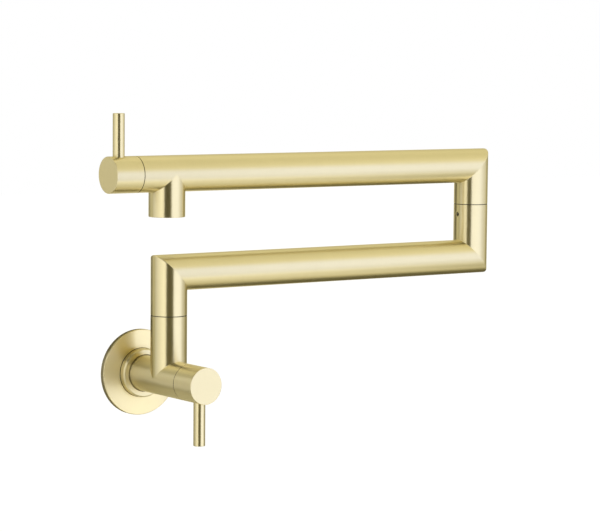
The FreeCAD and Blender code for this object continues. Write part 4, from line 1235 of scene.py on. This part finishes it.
class POTFILLER_OT_stage(bpy.types.Operator):
    """Set the floor, the light cards, the world and the camera"""
    bl_idname = "pot_filler.stage"
    bl_label = "Stage, light and camera"

    def execute(self, context):
        self.world()
        self.floor()
        self.cards()
        self.camera()
        context.scene.view_settings.view_transform = "Standard"
        return {"FINISHED"}

    def world(self):
        """White all round, for the camera and for every reflection."""
        world = bpy.data.worlds.new("studio")
        bpy.context.scene.world = world
        world.use_nodes = True
        wiring = Wiring(world.node_tree)
        seen = wiring.seen()
        white = wiring.add("ShaderNodeBackground", None, {"Color": WHITE, "Strength": 1.0})
        soft = wiring.add("ShaderNodeBackground", None,
                          {"Color": (1.0, 0.99, 0.97, 1), "Strength": 0.95})
        mixed = wiring.add("ShaderNodeMixShader", None, {0: seen, 1: soft, 2: white})
        wiring.add("ShaderNodeOutputWorld", None, {"Surface": mixed}, None)

    def floor(self):
        """A pale floor that keeps a soft shadow and can be seen through from below."""
        half, own_light = 6.0, 0.19
        wiring = new_finish("pale_floor")
        seen = wiring.seen()
        place = wiring.vector(*wiring.place())
        speckle = wiring.noise(place, 0.01, 3.0, 0.5)
        matt = wiring.add("ShaderNodeBsdfDiffuse", None, {
            "Color": wiring.mixed(speckle, (0.90, 0.90, 0.895, 1), (0.92, 0.92, 0.915, 1))})
        lift = wiring.add("ShaderNodeEmission", None, {"Color": WHITE, "Strength": own_light})
        pale = wiring.add("ShaderNodeAddShader", None, {0: matt, 1: lift})
        lit = wiring.add("ShaderNodeMixShader", None, {0: seen, 1: matt, 2: pale})
        self.see_through_back(wiring, lit)
        level = -settings().stage.floor_drop
        self.sheet("floor", [(-half, -half, level), (half, -half, level), (half, half, level),
                             (-half, half, level)], "pale_floor")

    def see_through_back(self, wiring, front):
        """Shows a shader on a stage piece's front and nothing on its back."""
        clear = wiring.add("ShaderNodeBsdfTransparent")
        behind = wiring.add("ShaderNodeNewGeometry", output="Backfacing")
        shown = wiring.add("ShaderNodeMixShader", None, {0: behind, 1: front, 2: clear})
        wiring.add("ShaderNodeOutputMaterial", None, {"Surface": shown}, None)

    def placed(self, mesh, material):
        """Puts a mesh on the stage under its own name."""
        mesh.materials.append(bpy.data.materials[material])
        made = bpy.data.objects.new(mesh.name, mesh)
        bpy.context.scene.collection.objects.link(made)
        return made

    def sheet(self, name, corners, material):
        """A flat stage piece with its front to the side from which the corners run anticlockwise."""
        mesh = bpy.data.meshes.new(name)
        mesh.from_pydata(corners, [], [tuple(range(len(corners)))])
        return self.placed(mesh, material)

    def studio(self, wiring, edge):
        """Level and colour of the light that reaches the metal from each direction round the object.

        edge is the pair of bearings between which the light on the right begins. Bearings are in
        degrees from straight out of the wall, and heights and depths are parts of the distance.
        """
        x, y, z = (part - middle for part, middle in zip(wiring.place(), MIDDLE))
        away = (x * x + y * y + z * z).root()
        ahead, height = y / away * -1, z / away
        right = wiring.add("ShaderNodeMath", {"operation": "ARCTAN2"}, {0: x, 1: y * -1}) * degrees(1)
        way = Way(ahead * -1, right, right * -1, height, height * -1)
        facing = ahead.between(-0.08, 0.10)
        level = self.behind(way) * (1 - facing) + self.in_front(way, edge) * facing
        blue = (level.between(0.35, 1.2) * (1 - height.between(0.2, 0.6) * 0.7)
                * (1 - way.below.between(0.3, 0.7) * 0.5))
        red = 0.75
        return level / red, wiring.mixed(blue, (red, 0.69, 0.40, 1), (red, 0.785, 1.0, 1))

    def in_front(self, way, edge):
        """Level of the light out from the wall: broad on the right, narrow on the left, then dark."""
        stage = settings().stage
        begun = way.right.between(*edge)
        # weaker towards the wall, but less so high up; weaker overhead; stronger just below level
        fall = 1 - way.right.between(20, 130) * (1 - way.height.between(0.1, 0.6) * 0.8) * 0.58
        high = 1 - way.height.between(0.15, 0.75) * 0.22
        low = 1 + way.below.between(0.28, 0.55) * 0.16 - way.below.between(0.60, 0.95) * 0.4
        # a dark corner low on the right
        corner = (1 - way.right.between(42, 66) * way.below.between(0.12, 0.35)
                  * (1 - way.below.between(0.6, 0.72)) * 0.85)
        right = begun * fall * high * low * corner * stage.front_level
        left = (way.left.between(66, 80) * (1 - way.left.between(70, 130) * 0.38)
                * (1 - way.height.between(0.3, 0.6) * 0.8) * stage.left_level)
        ground = (1 - begun) * way.below.between(0.38, 0.62) * 0.32
        return right + left + ground + stage.room_level

    def behind(self, way):
        """Level of the light behind the object: dim below, brighter above and low on the left."""
        stage = settings().stage
        level = (way.height.between(-0.35, 0.15) * (stage.behind_level - stage.below_level)
                 + stage.below_level)
        deep = way.below.between(0.45, 0.62)
        off_right = 1 - way.right.between(20, 60) * (1 - way.right.between(138, 152))
        under = (way.back.between(0.40, 0.64) * deep * 0.55
                 + way.back.between(0.55, 0.80) * way.below.between(0.04, 0.24) * (1 - deep) * 0.58)
        level = level + way.height.between(0.40, 0.80) * 0.36 + under * off_right
        # a dark stretch just left of straight behind, at the object's own height
        level_with = way.height.between(-0.45, -0.2) * (1 - way.height.between(0.15, 0.35))
        return level * (1 - way.left.between(147, 158) * level_with * 0.92)

    def shine(self, wiring, level, colour, one_sided=True):
        """Light from the front of a card, and from its back unless it is one-sided."""
        lit = wiring.add("ShaderNodeEmission", None, {"Color": colour, "Strength": level})
        if one_sided:
            self.see_through_back(wiring, lit)
        else:
            wiring.add("ShaderNodeOutputMaterial", None, {"Surface": lit}, None)

    def for_metal_only(self, made):
        """Lets only reflections see a stage piece, so that it neither shows nor shades."""
        made.data.materials[0].cycles.emission_sampling = "NONE"
        made.visible_camera = made.visible_diffuse = made.visible_shadow = False
        made.visible_transmission = made.visible_volume_scatter = False

    def upright(self, name, start, end, low, high, material):
        """A standing card whose front is to the left when walking from start to end."""
        corners = [(*start, low), (*end, low), (*end, high), (*start, high)]
        self.for_metal_only(self.sheet(name, [Vector(c) * MM for c in reversed(corners)], material))

    def lights(self):
        """The light of the cards and of the room."""
        stage = settings().stage
        wiring = new_finish("front_light")
        self.shine(wiring, *self.studio(wiring, edge=(-26, -21)))
        wiring = new_finish("surround")
        self.shine(wiring, *self.studio(wiring, edge=(-9, -3)), one_sided=False)
        near, far = LEFT_CARD
        wiring = new_finish("left_light")
        x, _, z = wiring.place()
        level = (1 - x.between(near[0], far[0]) * 0.45) * (z.between(-300, 100) * 0.35 + 0.65)
        self.shine(wiring, level * stage.left_level, (1.0, 0.99, 0.98, 1))
        wiring = new_finish("back_light")
        _, _, z = wiring.place()
        self.shine(wiring, (1 - z.between(150, 230) * 0.35) * stage.back_level, (1.0, 0.97, 0.80, 1))

    def cards(self):
        """The standing cards, the shade behind the cover plate and the rest of the room."""
        self.lights()
        near, far = LEFT_CARD
        self.upright("left_card", far, near, CARD_FOOT, LEFT_TOP, "left_light")
        self.upright("back_card", *BACK_CARD, *BACK_SPAN, "back_light")
        for i, (start, end) in enumerate(zip(FRONT_CARD, FRONT_CARD[1:])):
            self.upright(f"front_card_{i + 1}", start, end, CARD_FOOT, FRONT_TOP, "front_light")
        self.rim_shade()
        self.surround()

    def rim_shade(self):
        """A dark round card just behind the cover plate, which darkens the plate's rim."""
        radius, back, corners = 38.0, 0.3, 48
        self.shine(new_finish("rim_shade"), 1.0, (0.045, 0.040, 0.016, 1), one_sided=False)
        turns = [2 * pi * i / corners for i in range(corners)]
        rim = [Vector((radius * sin(a), back, radius * cos(a))) * MM for a in turns]
        self.for_metal_only(self.sheet("rim_shade", rim, "rim_shade"))

    def surround(self):
        """The rest of the room as the metal sees it, a ball cut flat just above the floor."""
        reach, subdivisions, above_floor = 2.7, 5, 0.002
        base = -settings().stage.floor_drop + above_floor
        build = bmesh.new()
        bmesh.ops.create_icosphere(build, subdivisions=subdivisions, radius=reach)
        for corner in build.verts:
            corner.co += MIDDLE * MM
            corner.co.z = max(corner.co.z, base)
        mesh = bpy.data.meshes.new("surround")
        build.to_mesh(mesh)
        build.free()
        self.for_metal_only(self.placed(mesh, "surround"))

    def camera(self):
        """Looks from the photograph's place: yaw from +Y towards +X, then pitch, then roll."""
        yaw, pitch, roll = (radians(angle) for angle in (CAMERA_YAW, CAMERA_PITCH, CAMERA_ROLL))
        ahead = Vector((sin(yaw) * cos(pitch), cos(yaw) * cos(pitch), sin(pitch)))
        right = Vector((cos(yaw), -sin(yaw), 0))
        up = right.cross(ahead)
        right, up = right * cos(roll) + up * sin(roll), up * cos(roll) - right * sin(roll)
        data = bpy.data.cameras.new("camera")
        data.lens = settings().stage.lens
        data.sensor_width = SENSOR_WIDTH
        data.clip_start, data.clip_end = 0.05, 60.0
        camera = bpy.data.objects.new("camera", data)
        turn = Matrix((right, up, -ahead)).transposed().to_4x4()
        camera.matrix_world = Matrix.Translation(CAMERA_PLACE * MM) @ turn
        bpy.context.scene.collection.objects.link(camera)
        bpy.context.scene.camera = camera


OPERATORS = (POTFILLER_OT_finishes, POTFILLER_OT_cover_plate, POTFILLER_OT_inlet,
             POTFILLER_OT_valve_bodies, POTFILLER_OT_arms, POTFILLER_OT_handles,
             POTFILLER_OT_set_screws, POTFILLER_OT_aerator, POTFILLER_OT_stage)


class VIEW3D_PT_pot_filler(bpy.types.Panel):
    """Lists the pieces and their settings."""
    bl_label = "Pot Filler"
    bl_idname = "VIEW3D_PT_pot_filler"
    bl_space_type = "VIEW_3D"
    bl_region_type = "UI"
    bl_category = "Pot Filler"

    def draw(self, context):
        layout = self.layout
        for operator in OPERATORS:
            layout.operator(operator.bl_idname)
        for group in (settings().sizes, settings().finish, settings().stage):
            box = layout.box()
            for name in group.__annotations__:
                box.prop(group, name)


CLASSES = (PotFillerSizes, PotFillerFinish, PotFillerStage, PotFillerSettings, *OPERATORS,
           VIEW3D_PT_pot_filler)


def register():
    for item in CLASSES:
        bpy.utils.register_class(item)
    bpy.types.Scene.pot_filler = PointerProperty(type=PotFillerSettings, name="Pot filler",
                                                 description="Sizes, finishes and stage")


def unregister():
    del bpy.types.Scene.pot_filler
    for item in reversed(CLASSES):
        bpy.utils.unregister_class(item)


def main():
    register()
    for operator in OPERATORS:
        group, name = operator.bl_idname.split(".")
        getattr(getattr(bpy.ops, group), name)()


if __name__ == "__main__":
    main()
